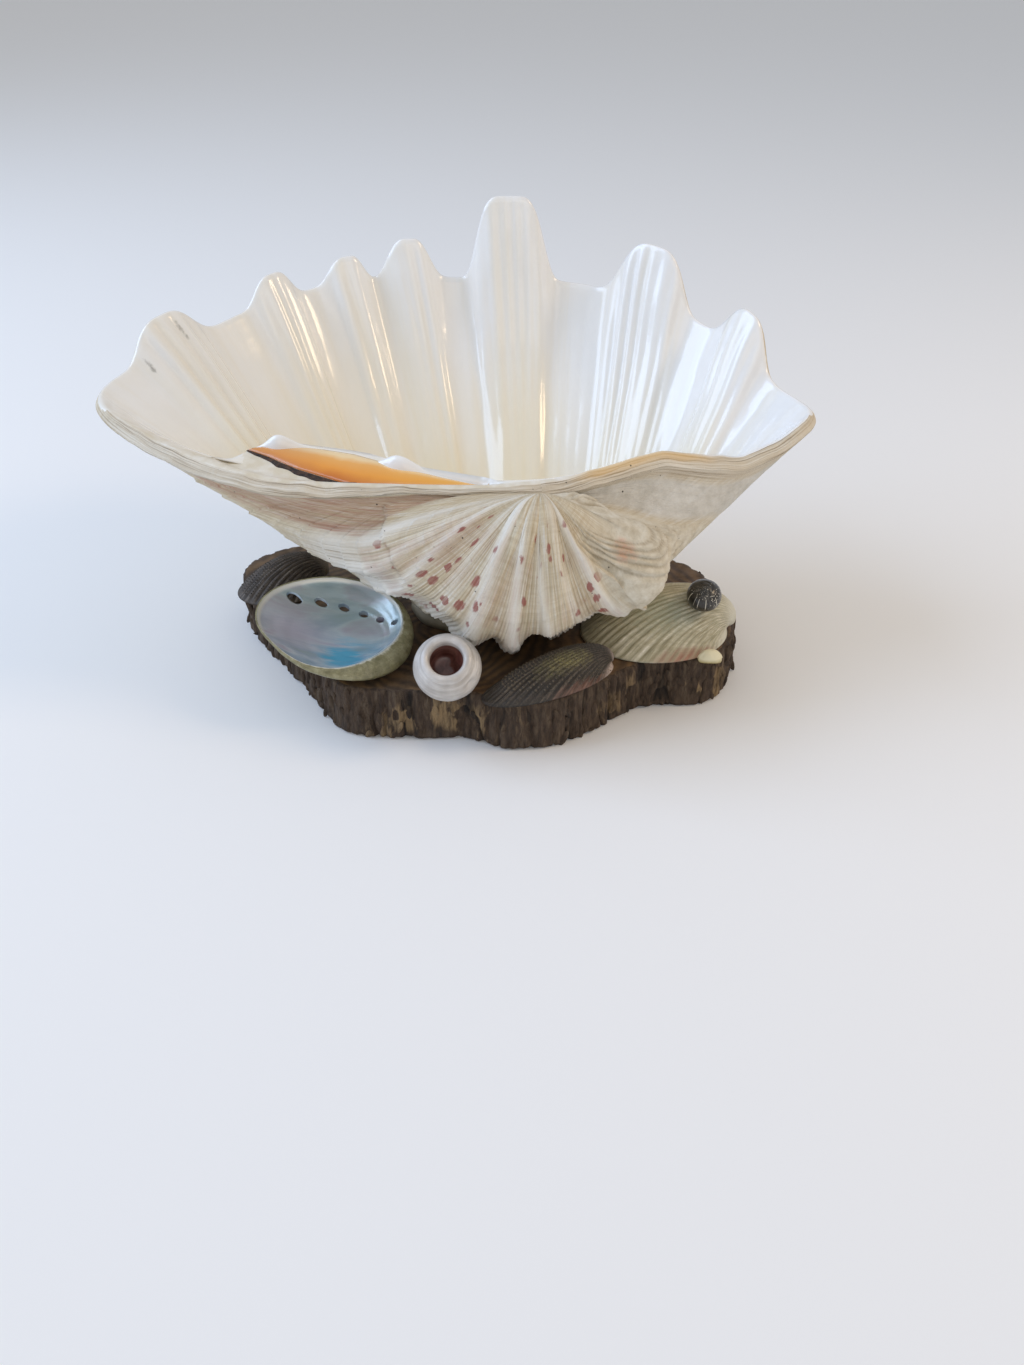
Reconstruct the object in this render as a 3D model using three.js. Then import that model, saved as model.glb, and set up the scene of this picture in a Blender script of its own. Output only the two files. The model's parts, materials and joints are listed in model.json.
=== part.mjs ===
// Display piece: one giant clam valve, hollow side up, on a bark-edged slab of wood, with smaller
// shells glued round its foot. Millimetres, +Z up, origin at the centre of the slab's flat underside,
// -Y is the front (the hinge side of the clam).
import * as THREE from "three";

const DEG = Math.PI / 180;
const GAP = 0.4; // air left between neighbouring bodies

const SLAB = {
  height: 24,
  bevel: 2.5,
  furrow: 1.1, // depth of the bark furrows
  furrows: 26, // how many go round
  samples: 104,
  outline: [
    [117, -14], [118, 14], [109, 46], [82, 68], [40, 80], [-10, 84], [-58, 80], [-95, 70], [-112, 50],
    [-105, 24], [-87, -5], [-70, -32], [-54, -56], [-29, -62], [-3, -62], [17, -70], [38, -67], [56, -54],
    [76, -39], [102, -36],
  ],
};

const CLAM = {
  umbo: [29, -38, 106.5], // where the ribs meet, on the hinge line
  tilt: 12, // degrees the rim plane rises towards the back
  // Rim of the hollow, in the rim plane from the umbo round the free edge and back: x, y, lift.
  rim: [
    [0, 0, 0], [48, 22, -1], [84, 31, -8], [113, 52, -3], [105, 82, -9], [76, 127, -4], [26, 163, -4],
    [-38, 171, -4], [-77, 169, -4], [-112, 157, -4], [-143, 130, -4], [-178, 90, -4], [-184, 60, 0],
    [-160, 33, 0], [-110, 4, 0], [-60, -2, 0],
  ],
  // Tongues of the free edge: bearing from the umbo, half width, rise, lean outwards, squareness.
  tongues: [
    [48.5, 13.5, 20, 2, 2.8], [70, 17.5, 26, 4, 3], [94, 17, 38, 7, 4], [109, 11.5, 19, 2, 2.8],
    [118, 9.5, 13, 1, 2.6], [129, 11, 13, 1, 2.6], [146.6, 16.5, 15, 2, 3],
  ],
  lipFree: 2.6, // thickness of the edge at the tongues
  lipFront: 5.2, // and along the hinge side
  hingeSet: [-5.2, -3.4], // y and z of the axis the outside grows about
  growth: { inside: 0.612, outside: 0.559, curl: 0.6, curlFrom: 1.9 },
  shoulder: 0.13, // how much the far ends of the growth lines are drawn up under the valve
  frontWall: 15, // how much thicker the wall grows below the hinge
  // Inner edge of the hinge plate inside the left front, [x, y].
  plate: [[-165, -9], [-148, 12], [-128, 32], [-108, 36], [-75, 27], [-50, 14], [-24, 5], [0, -9]],
  // Even steps of the outline before the first and after the last tongue are few: share, then length.
  spacing: [[0, 0], [0.08, 0.17], [0.89, 0.735], [1, 1]],
  floorAngle: 78,
  samples: 104,
  outsideRows: [0, 9, 20, 33, 48, 64, 82, 101, 122, 145, 170],
  insideRows: [0, 9, 20, 33, 48, 64],
};

const ABALONE = { seat: [-57, -33, 40.6], turn: -14, lean: 14, roll: 5, a: 34.5, b: 29, rise: 13, wall: 2.6, drift: 0.3 };
const TURBAN = { seat: [-8, -63.5, 37.8], turn: 3, lean: 38 };
const MUSSEL = { seat: [60, -38.5, 24.4], turn: 120, reach: 62, half: 12.6, rate: 1.55, wall: 2.2 };
const COCKLE = { seat: [112.5, -8, 24.4], turn: 97, reach: 65, half: 27.5, rate: 1, wall: 2.4 };
const NERITE = { seat: [99.6, -21.5, 47.3], turn: 20, lean: 22, radius: 7.6 };
const ARK = { seat: [-72, 38, 24.4], turn: 122, reach: 41, half: 17, rate: 0.85, wall: 2.2 };
const GLUE = { seat: [102, -37.3, 24.4], half: [6.6, 3.8], height: 5.5 };
const BED = { centre: [7, 10], half: [35, 30], skirt: 3, samples: 32, rows: 5 };

const lerp = (a, b, t) => a + (b - a) * t;
const clamp01 = (t) => Math.min(1, Math.max(0, t));
const smooth = (lo, hi, v) => {
  const t = clamp01((v - lo) / (hi - lo));
  return t * t * (3 - 2 * t);
};

/** Closed smooth curve through the given points, as n points; spacing maps share of points to length. */
function closedCurve(points, n, spacing = [[0, 0], [1, 1]]) {
  const curve = new THREE.CatmullRomCurve3(
    points.map(([x, y, z = 0]) => new THREE.Vector3(x, y, z)), true, "centripetal");
  curve.arcLengthDivisions = 1200;
  return Array.from({ length: n }, (_, i) => {
    const k = spacing.findIndex(([share]) => i / n < share);
    const [[a, la], [b, lb]] = [spacing[k - 1], spacing[k]];
    return curve.getPointAt(lerp(la, lb, (i / n - a) / (b - a)));
  });
}

/**
 * One closed body from rings of points laid one after another. A ring of a single point is a pole, so a
 * body starts and ends with one. Points that coincide are welded and empty triangles dropped.
 */
function ringBody(rings) {
  const positions = [];
  const seen = new Map();
  const weld = ([x, y, z]) => {
    const key = [x, y, z].map((v) => Math.round(v * 1e4)).join();
    if (!seen.has(key)) {
      seen.set(key, positions.length / 3);
      positions.push(x, y, z);
    }
    return seen.get(key);
  };
  const ids = rings.map((ring) => ring.map(weld));
  const triangles = [];
  const add = (a, b, c) => a !== b && b !== c && c !== a && triangles.push(a, b, c);
  for (let r = 0; r + 1 < ids.length; r += 1) {
    const [low, high] = [ids[r], ids[r + 1]];
    const n = Math.max(low.length, high.length);
    for (let i = 0; i < n; i += 1) {
      const j = (i + 1) % n;
      const at = (ring, k) => (ring.length === 1 ? ring[0] : ring[k]);
      add(at(low, i), at(low, j), at(high, j));
      add(at(low, i), at(high, j), at(high, i));
    }
  }
  return faceOutwards(positions, triangles);
}

/** Indexed geometry with its triangles turned so that the enclosed volume is positive. */
function faceOutwards(positions, triangles) {
  const p = (k) => new THREE.Vector3(positions[3 * k], positions[3 * k + 1], positions[3 * k + 2]);
  let volume = 0;
  for (let t = 0; t < triangles.length; t += 3) {
    volume += p(triangles[t]).dot(p(triangles[t + 1]).cross(p(triangles[t + 2])));
  }
  const geometry = new THREE.BufferGeometry();
  geometry.setAttribute("position", new THREE.Float32BufferAttribute(positions, 3));
  geometry.setIndex(volume > 0 ? triangles : triangles.reverse());
  return geometry;
}

/** Turn about Z, lean about X, roll about Y, then move to the seat. */
function seated(geometry, { seat, turn = 0, lean = 0, roll = 0 }) {
  geometry.rotateY(roll * DEG);
  geometry.rotateZ(turn * DEG);
  geometry.rotateX(lean * DEG);
  geometry.translate(...seat);
  return geometry;
}

/** Slab of wood: irregular outline, furrowed bark side, eased top edge. */
function slabGeometry() {
  const edge = closedCurve(SLAB.outline, SLAB.samples);
  const ring = (z, inset) => edge.map((p, i) => {
    const wave = Math.cos((2 * Math.PI * SLAB.furrows * i) / SLAB.samples);
    const pull = 1 - (inset + SLAB.furrow * (0.5 + 0.5 * wave)) / Math.hypot(p.x, p.y);
    return [p.x * pull, p.y * pull, z];
  });
  return ringBody([
    [[0, 0, 0]], ring(0, 0), ring(SLAB.height - SLAB.bevel, 0.6), ring(SLAB.height, SLAB.bevel),
    [[0, 0, SLAB.height]],
  ]);
}

/** Height of one tongue over the rim at a point of it. */
function tongueAt(p, [bearing, half, rise, lean, square]) {
  const d = [Math.cos(bearing * DEG), Math.sin(bearing * DEG)];
  const along = p.x * d[0] + p.y * d[1];
  const off = p.x * d[1] - p.y * d[0];
  const g = Math.exp(-(Math.abs(off / half) ** square)) * smooth(62, 100, along);
  return [lean * g * d[0], lean * g * d[1], rise * g];
}

/** Rim of the hollow: plain base curve, the tongues' offset, and the lip's outward direction. */
function clamRim() {
  const base = closedCurve(CLAM.rim, CLAM.samples, CLAM.spacing);
  const n = base.length;
  return base.map((p, i) => {
    const tongue = CLAM.tongues.map((t) => tongueAt(p, t))
      .reduce((sum, t) => sum.map((v, k) => v + t[k]), [0, 0, 0]);
    const [a, b] = [base[(i + n - 1) % n], base[(i + 1) % n]];
    const run = Math.hypot(b.x - a.x, b.y - a.y);
    const out = [(b.y - a.y) / run, -(b.x - a.x) / run];
    const free = smooth(30, 75, p.y);
    return { p: [p.x, p.y, p.z], tongue, out, free, lip: lerp(CLAM.lipFront, CLAM.lipFree, free) };
  });
}

/** How much the valve has shrunk towards the umbo after turning by the angle (radians). */
function shrink(angle, rate) {
  const { curl, curlFrom } = CLAM.growth;
  return Math.exp(-(rate * angle + curl * Math.max(0, angle - curlFrom) ** 2));
}

/** Value at x on a line of straight stretches through the given points. */
function along(points, x) {
  const k = points.findIndex(([px]) => x < px);
  if (k < 1) return k === 0 ? points[0][1] : points[points.length - 1][1];
  const [[x0, y0], [x1, y1]] = [points[k - 1], points[k]];
  return lerp(y0, y1, (x - x0) / (x1 - x0));
}

/** One growth line: the rim turned about the hinge and shrunk; the lip is added for the outside. */
function growthLine(rim, degrees, outside) {
  const angle = degrees * DEG;
  const s = shrink(angle, outside ? CLAM.growth.outside : CLAM.growth.inside);
  const fade = lerp(1, 0.3, smooth(0, 90, degrees));
  const [ay, az] = outside ? CLAM.hingeSet : [0, 0];
  const wall = outside ? 0 : CLAM.frontWall * Math.sin(angle) / s;
  return rim.map(({ p, tongue, out, free, lip }) => {
    const w = outside ? lip : 0;
    const belly = s * (1 - CLAM.shoulder * Math.sin(Math.min(angle, Math.PI / 2)) ** 2 * smooth(40, 140, -p[0]));
    const x = p[0] + tongue[0] * fade + w * out[0];
    const least = outside ? 0.4 : along(CLAM.plate, p[0]);
    const y = Math.max(p[1] + tongue[1] * fade + w * out[1] + wall * (1 - free) - ay, degrees === 0 ? -9 : least);
    const z = p[2] + tongue[2] * fade - 0.75 * w - az;
    return [s * x, ay + belly * (y * Math.cos(angle) + z * Math.sin(angle)),
      az + belly * (z * Math.cos(angle) - y * Math.sin(angle))];
  });
}

/** The valve: outside from the umbo up to the lip, over it, and down the inside to the front wall. */
function clamGeometry() {
  const rim = clamRim();
  const outside = CLAM.outsideRows.map((a) => growthLine(rim, a, true)).reverse();
  const inside = CLAM.insideRows.map((a) => growthLine(rim, a, false));
  const floor = growthLine(rim, CLAM.floorAngle, false);
  const centre = floor.reduce((sum, p) => sum.map((v, k) => v + p[k] / floor.length), [0, 0, 0]);
  const inner = floor.map((p) => p.map((v, k) => lerp(v, centre[k], 0.5)));
  const tip = [0, CLAM.hingeSet[0] - 2, CLAM.hingeSet[1] - 1];
  const geometry = ringBody([[tip], ...outside, ...inside, floor, inner, [centre]]);
  geometry.rotateX(CLAM.tilt * DEG);
  geometry.translate(...CLAM.umbo);
  return geometry;
}

/** Rim of a small bivalve, turned up about its hinge and shrunk, as it was when younger. */
function youngerRim({ reach, half, rate }, set, inset, angle, around) {
  const s = Math.exp(-rate * angle);
  return Array.from({ length: around }, (_, i) => {
    const turn = (2 * Math.PI * i) / around;
    const y = s * ((reach - set - inset) * (1 - Math.cos(turn))) / 2;
    return [s * (half - inset) * Math.sin(turn), set + y * Math.cos(angle), y * Math.sin(angle)];
  });
}

/** A small bivalve lying hollow side down: hinge at the origin, growing along +Y, beak upwards. */
function smallValveGeometry(valve, around = 28) {
  const inner = { ...valve, rate: valve.rate * 1.12 };
  const outside = [150, 118, 94, 74, 56, 39, 24, 11, 0]
    .map((a) => youngerRim(valve, 0, 0, a * DEG, around));
  const inside = [0, 14, 30, 48, 66].map((a) => youngerRim(inner, 2 * valve.wall, valve.wall, a * DEG, around));
  const mean = (ring) => ring.reduce((sum, p) => sum.map((v, k) => v + p[k] / ring.length), [0, 0, 0]);
  return ringBody([[mean(outside[0])], ...outside, ...inside, [mean(inside[inside.length - 1])]]);
}

/** A dish, opening downwards: domed outside, hollow underside, its top drifted to +X. */
function dishGeometry({ a, b, rise, wall, drift, around = 30, up = 6 }) {
  const ring = (t, shell) => Array.from({ length: around }, (_, i) => {
    const angle = (2 * Math.PI * i) / around;
    const shift = drift * a * (1 - t ** 1.6);
    const dome = (1 - t ** 2.4) ** 0.72;
    return [(a - shell) * t * Math.cos(angle) + shift * (1 - shell / a),
      (b - shell) * t * Math.sin(angle), Math.max(0, (rise - shell) * dome)];
  });
  const steps = Array.from({ length: up }, (_, i) => (i + 1) / up);
  const outside = steps.map((t) => ring(t, 0));
  const inside = steps.map((t) => ring(t, wall)).reverse();
  return ringBody([[ring(0, 0)[0]], ...outside, ...inside, [ring(0, wall)[0]]]);
}

/** Body of revolution about Z from a profile of [radius, height] that starts and ends on the axis. */
function turnedGeometry(profile, around) {
  const ring = ([r, z]) => (r === 0 ? [[0, 0, z]] : Array.from({ length: around }, (_, i) => {
    const angle = (2 * Math.PI * i) / around;
    return [r * Math.cos(angle), r * Math.sin(angle), z];
  }));
  return ringBody(profile.map(ring));
}

/** Round white snail shell with its open mouth up. */
function turbanGeometry() {
  return turnedGeometry([
    [0, -12.6], [5, -12], [9.6, -9.4], [12.9, -5.2], [13.9, -0.5], [13.2, 4], [11, 7.6], [9.3, 9.6],
    [8.4, 10.2], [7.2, 9.4], [6.4, 5], [4.6, 0.5], [0, -2.5],
  ], 26);
}

/** Small squat snail shell, mouth down. */
function neriteGeometry() {
  const r = NERITE.radius;
  return turnedGeometry([
    [0, -0.75 * r], [0.62 * r, -0.7 * r], [0.93 * r, -0.35 * r], [r, 0.02 * r], [0.86 * r, 0.42 * r],
    [0.5 * r, 0.7 * r], [0, 0.8 * r],
  ], 20);
}

/** Bead of set glue. */
function glueGeometry() {
  const geometry = turnedGeometry([
    [0, 0], [0.9, 0], [1, 0.3], [0.82, 0.75], [0.4, 0.97], [0, 1],
  ], 16);
  return geometry.scale(GLUE.half[0], GLUE.half[1], GLUE.height);
}

/** Lowest height of a geometry straight above a point, or null where it is not overhead. */
function undersideAbove(geometry, x, y) {
  const p = geometry.attributes.position;
  const index = geometry.index.array;
  let lowest = null;
  for (let t = 0; t < index.length; t += 3) {
    const [a, b, c] = [index[t], index[t + 1], index[t + 2]];
    const [ax, ay, bx, by, cx, cy] = [p.getX(a), p.getY(a), p.getX(b), p.getY(b), p.getX(c), p.getY(c)];
    const area = (bx - ax) * (cy - ay) - (cx - ax) * (by - ay);
    const v = ((x - ax) * (cy - ay) - (cx - ax) * (y - ay)) / area;
    const w = ((bx - ax) * (y - ay) - (x - ax) * (by - ay)) / area;
    if (v < 0 || w < 0 || v + w > 1 || !Number.isFinite(area) || area === 0) continue;
    const z = p.getZ(a) + v * (p.getZ(b) - p.getZ(a)) + w * (p.getZ(c) - p.getZ(a));
    lowest = lowest === null ? z : Math.min(lowest, z);
  }
  return lowest;
}

/** Putty the valve is bedded in: fills the space between the slab and its underside. */
function bedGeometry(clam) {
  const foot = SLAB.height + GAP;
  const ring = (t, top) => Array.from({ length: BED.samples }, (_, i) => {
    const angle = (2 * Math.PI * i) / BED.samples;
    const x = BED.centre[0] + BED.half[0] * t * Math.cos(angle);
    const y = BED.centre[1] + BED.half[1] * t * Math.sin(angle);
    const over = undersideAbove(clam, x, y) ?? foot + BED.skirt;
    return [x, y, top ? Math.max(foot + GAP, over - 3 * GAP) : foot];
  });
  const steps = Array.from({ length: BED.rows }, (_, i) => (i + 1) / BED.rows);
  const over = Math.max(foot + GAP, undersideAbove(clam, ...BED.centre) - 3 * GAP);
  return ringBody([
    [[...BED.centre, foot]], ring(1, false), ...steps.map((t) => ring(t * 0.94, true)).reverse(),
    [[...BED.centre, over]],
  ]);
}

/** Named mesh with its own material. */
function piece(name, geometry, color, roughness, metalness = 0) {
  geometry.computeVertexNormals();
  const mesh = new THREE.Mesh(geometry, new THREE.MeshStandardMaterial({ color, roughness, metalness }));
  mesh.name = name;
  mesh.material.name = `${name}_finish`;
  return mesh;
}

/** All pieces in their places. */
function build() {
  const group = new THREE.Group();
  group.name = "giant_clam_shell_display";
  const clam = clamGeometry();
  group.add(
    piece("wood_slab", slabGeometry(), 0x4a3a2c, 0.85),
    piece("clam_valve", clam, 0xf1ebdd, 0.35),
    piece("putty_bed", bedGeometry(clam), 0xd9d2bd, 0.7),
    piece("abalone_shell", seated(dishGeometry({ ...ABALONE, around: 32 }).rotateX(Math.PI), ABALONE),
      0xa9b7b4, 0.25),
    piece("turban_shell", seated(turbanGeometry(), TURBAN), 0xe9e7e2, 0.4),
    piece("mussel_shell", seated(smallValveGeometry(MUSSEL), MUSSEL), 0x4b463c, 0.6),
    piece("cockle_shell", seated(smallValveGeometry(COCKLE, 32), COCKLE), 0xb9b19b, 0.55),
    piece("nerite_shell", seated(neriteGeometry(), NERITE), 0x24221f, 0.3),
    piece("ark_shell", seated(smallValveGeometry(ARK), ARK), 0x6b645a, 0.65),
    piece("glue_bead", seated(glueGeometry(), GLUE), 0xded7bb, 0.45),
  );
  return group;
}

export default build();
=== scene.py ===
import json
import logging
import math
from dataclasses import dataclass, field
from enum import Enum
from itertools import product

import bpy
import numpy as np
from mathutils import Euler, Matrix, Vector
from mathutils.bvhtree import BVHTree

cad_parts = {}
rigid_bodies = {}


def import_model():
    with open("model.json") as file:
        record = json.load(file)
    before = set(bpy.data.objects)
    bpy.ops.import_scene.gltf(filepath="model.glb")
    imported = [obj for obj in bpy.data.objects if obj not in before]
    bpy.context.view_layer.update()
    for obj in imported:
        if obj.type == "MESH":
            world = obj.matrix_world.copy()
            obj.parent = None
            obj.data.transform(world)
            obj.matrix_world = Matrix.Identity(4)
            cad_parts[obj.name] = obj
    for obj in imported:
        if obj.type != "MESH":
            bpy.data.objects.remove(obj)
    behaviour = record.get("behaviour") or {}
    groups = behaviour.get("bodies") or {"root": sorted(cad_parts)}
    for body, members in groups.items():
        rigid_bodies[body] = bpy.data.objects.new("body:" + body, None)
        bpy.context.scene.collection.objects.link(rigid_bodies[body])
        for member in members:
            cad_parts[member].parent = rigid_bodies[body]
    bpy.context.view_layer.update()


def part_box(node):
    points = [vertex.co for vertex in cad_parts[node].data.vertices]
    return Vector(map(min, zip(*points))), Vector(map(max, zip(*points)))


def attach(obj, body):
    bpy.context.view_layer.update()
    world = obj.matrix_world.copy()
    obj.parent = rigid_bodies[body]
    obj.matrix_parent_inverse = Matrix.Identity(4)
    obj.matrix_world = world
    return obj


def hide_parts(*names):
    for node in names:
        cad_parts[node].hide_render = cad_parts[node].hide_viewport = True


LOG = logging.getLogger("clam_display")
MM = 0.001  # sizes below are millimetres; meshes are made in metres
BODY = "root"

MATH = "ShaderNodeMath"
VECTOR = "ShaderNodeVectorMath"
NOISE = "ShaderNodeTexNoise"
CELLS = "ShaderNodeTexVoronoi"
MIX = "ShaderNodeMix"
RANGE = "ShaderNodeMapRange"
RAMP = "ShaderNodeValToRGB"
SPLIT = "ShaderNodeSeparateXYZ"
JOIN = "ShaderNodeCombineXYZ"
ATTRIBUTE = "ShaderNodeAttribute"
BUMP = "ShaderNodeBump"
WHOLE = (0.0, 1.0, 1.0)  # a layer's colour comes in just as its mask does


class Side(Enum):
    """Which skin of a hollow shell a row of points belongs to."""

    OUTSIDE = 1.0
    INSIDE = 0.0


# ---------------------------------------------------------------- small tools


def srgb(code: str) -> tuple[float, float, float, float]:
    """Linear colour of an sRGB hex code.

    Args:
        code: a colour such as "#E9DFCB".

    Returns:
        Red, green, blue and an alpha of 1, linear.
    """
    parts = [int(code[i : i + 2], 16) / 255 for i in (1, 3, 5)]
    linear = [v / 12.92 if v <= 0.04045 else ((v + 0.055) / 1.055) ** 2.4 for v in parts]
    return (*linear, 1.0)


def per_metre(size: float) -> float:
    """Scale of a pattern on Object coordinates whose features are size millimetres."""
    return 1000 / size


def plug(node: bpy.types.Node, inputs: dict[str | int, object]) -> None:
    """Fills inputs of a node.

    Args:
        node: the node.
        inputs: value, hex colour, socket or node for each input, by name or number. A node stands for
            its first output that is in use.
    """
    for key, value in inputs.items():
        if isinstance(value, bpy.types.Node):
            value = next(s for s in value.outputs if s.enabled)
        if isinstance(value, bpy.types.NodeSocket):
            node.id_data.links.new(value, node.inputs[key])
        else:
            hex_code = isinstance(value, str) and value.startswith("#")
            node.inputs[key].default_value = srgb(value) if hex_code else value


def add(
    tree: bpy.types.NodeTree,
    kind: str,
    inputs: dict[str | int, object] | None = None,
    stops: list[tuple[float, str]] | None = None,
    **settings: object,
) -> bpy.types.Node:
    """Adds one node with its settings, values and links.

    Args:
        tree: the shader or geometry tree.
        kind: the node's type name.
        inputs: what goes into the node's inputs, as in plug.
        stops: position and hex colour of each stop, for a colour ramp.
        **settings: properties of the node.

    Returns:
        The node.
    """
    node = tree.nodes.new(kind)
    for name, value in settings.items():
        setattr(node, name, value)
    plug(node, inputs or {})
    if stops:
        ramp = node.color_ramp
        while len(ramp.elements) < len(stops):
            ramp.elements.new(0.5)
        for element, (position, code) in zip(ramp.elements, stops):
            element.position = position
            element.color = srgb(code)
    return node


def painted(tree: bpy.types.NodeTree, base: bpy.types.Node, *layers: tuple) -> bpy.types.Node:
    """Lays colours over a base one after the other.

    Args:
        tree: the material's nodes.
        base: the colour below.
        *layers: for each colour its mask, what the mask is multiplied by, the two values between which
            the colour comes in, its largest share, and the colour as a hex code or a node.

    Returns:
        The node of the finished colour.
    """
    for mask, factor, low, high, most, colour in layers:
        share = add(tree, MATH, {0: mask, 1: factor}, operation="MULTIPLY")
        share = add(tree, RANGE, {0: share, 1: low, 2: high, 3: 0.0, 4: most})
        base = add(tree, MIX, {0: share, 6: base, 7: colour}, data_type="RGBA")
    return base


def smooth(low: float, high: float, value: np.ndarray) -> np.ndarray:
    """Smooth step of value from 0 at low to 1 at high."""
    t = np.clip((np.asarray(value, float) - low) / (high - low), 0, 1)
    return t * t * (3 - 2 * t)


def bell(value: np.ndarray, middle: float, width: float | np.ndarray) -> np.ndarray:
    """Bell curve of value round middle."""
    return np.exp(-(((value - middle) / width) ** 2))


def rib(phase: np.ndarray) -> np.ndarray:
    """Round-backed ribs with narrow grooves: 1 on a crest, 0 in a groove, one for each unit of phase."""
    return 1 - np.abs(2 * (phase - np.floor(phase)) - 1) ** 2.2


class Wander:
    """A smooth random field that is the same each run."""

    def __init__(self, seed: int) -> None:
        """Draws the lattice of values for a seed."""
        self.lattice = np.random.default_rng(seed).uniform(-1, 1, (32, 32, 32))

    def at(self, points: np.ndarray, size: float, octaves: int = 1) -> np.ndarray:
        """Values at points.

        Args:
            points: places, with three numbers in the last axis.
            size: size of the largest features, in the points' units.
            octaves: how many times finer features are added.

        Returns:
            About -1 to 1 for each point.
        """
        total = np.zeros(points.shape[:-1])
        for k in range(octaves):
            q = points / (size / 2**k) + 7.3 * k
            cell = np.floor(q).astype(int)
            part = q - cell
            part = part * part * (3 - 2 * part)
            for corner in product((0, 1), repeat=3):
                share = np.where(corner, part, 1 - part).prod(-1)
                i, j, l = np.moveaxis((cell + corner) % 32, -1, 0)
                total += 0.5**k * share * self.lattice[i, j, l]
        return total / (2 - 0.5 ** (octaves - 1))


def angles(columns: int, closed: bool = False) -> np.ndarray:
    """Directions of the columns round a piece, in radians; closed gives the first one again at the end."""
    return 2 * math.pi * np.arange(columns + closed) / columns


def flat(*parts: np.ndarray) -> np.ndarray:
    """Joins arrays of coordinates as points.

    Args:
        *parts: two or three arrays; the third coordinate is 0 if it is left out.

    Returns:
        Points with three numbers in the last axis.
    """
    parts = np.broadcast_arrays(*parts)
    if len(parts) == 2:
        parts = [*parts, np.zeros_like(parts[0], float)]
    return np.stack(parts, -1)


def closed_curve(
    points: tuple[tuple[float, ...], ...],
    count: int,
    spacing: tuple[tuple[float, float], ...] | None = None,
) -> np.ndarray:
    """Points along a closed smooth curve.

    Args:
        points: the points it passes through, two or three numbers each.
        count: how many points to give.
        spacing: share of the count against share of the length, for uneven steps.

    Returns:
        count points of three numbers.
    """
    knots = np.array([[*p, 0.0][:3] for p in points], float)
    n = len(knots)
    t = np.linspace(0, n, 400 * n, endpoint=False)
    i = np.floor(t).astype(int)
    w = (t - i)[:, None]
    p0, p1, p2, p3 = (knots[(i + k) % n] for k in (-1, 0, 1, 2))
    d0, d1, d2 = (np.sqrt(np.linalg.norm(b - a, axis=1))[:, None] for a, b in ((p0, p1), (p1, p2), (p2, p3)))
    t1 = ((p1 - p0) / d0 - (p2 - p0) / (d0 + d1) + (p2 - p1) / d1) * d1
    t2 = ((p2 - p1) / d1 - (p3 - p1) / (d1 + d2) + (p3 - p2) / d2) * d1
    fine = p1 + w * (t1 + w * ((3 * (p2 - p1) - 2 * t1 - t2) + w * (2 * (p1 - p2) + t1 + t2)))
    fine = np.vstack([fine, fine[:1]])
    run = np.concatenate([[0], np.cumsum(np.linalg.norm(np.diff(fine, axis=0), axis=1))])
    share = np.arange(count) / count
    if spacing:
        share = np.interp(share, *np.array(spacing).T)
    return np.stack([np.interp(share * run[-1], run, fine[:, k]) for k in range(3)], -1)


def place(points: np.ndarray, seat: "Seat") -> np.ndarray:
    """Turns points about Y, then Z, then X, and moves them to their seat.

    Args:
        points: places with three numbers in the last axis, in millimetres.
        seat: where they go.

    Returns:
        The moved points.
    """
    turn = Matrix.Rotation(math.radians(seat.lean), 3, "X")
    turn = turn @ Matrix.Rotation(math.radians(seat.turn), 3, "Z")
    turn = turn @ Matrix.Rotation(math.radians(seat.roll), 3, "Y")
    return points @ np.array(turn).T + np.array(seat.at)


@dataclass(frozen=True)
class Seat:
    """Where a piece stands and how it is turned, in millimetres and degrees."""

    at: tuple[float, float, float]
    turn: float = 0
    lean: float = 0
    roll: float = 0


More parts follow.
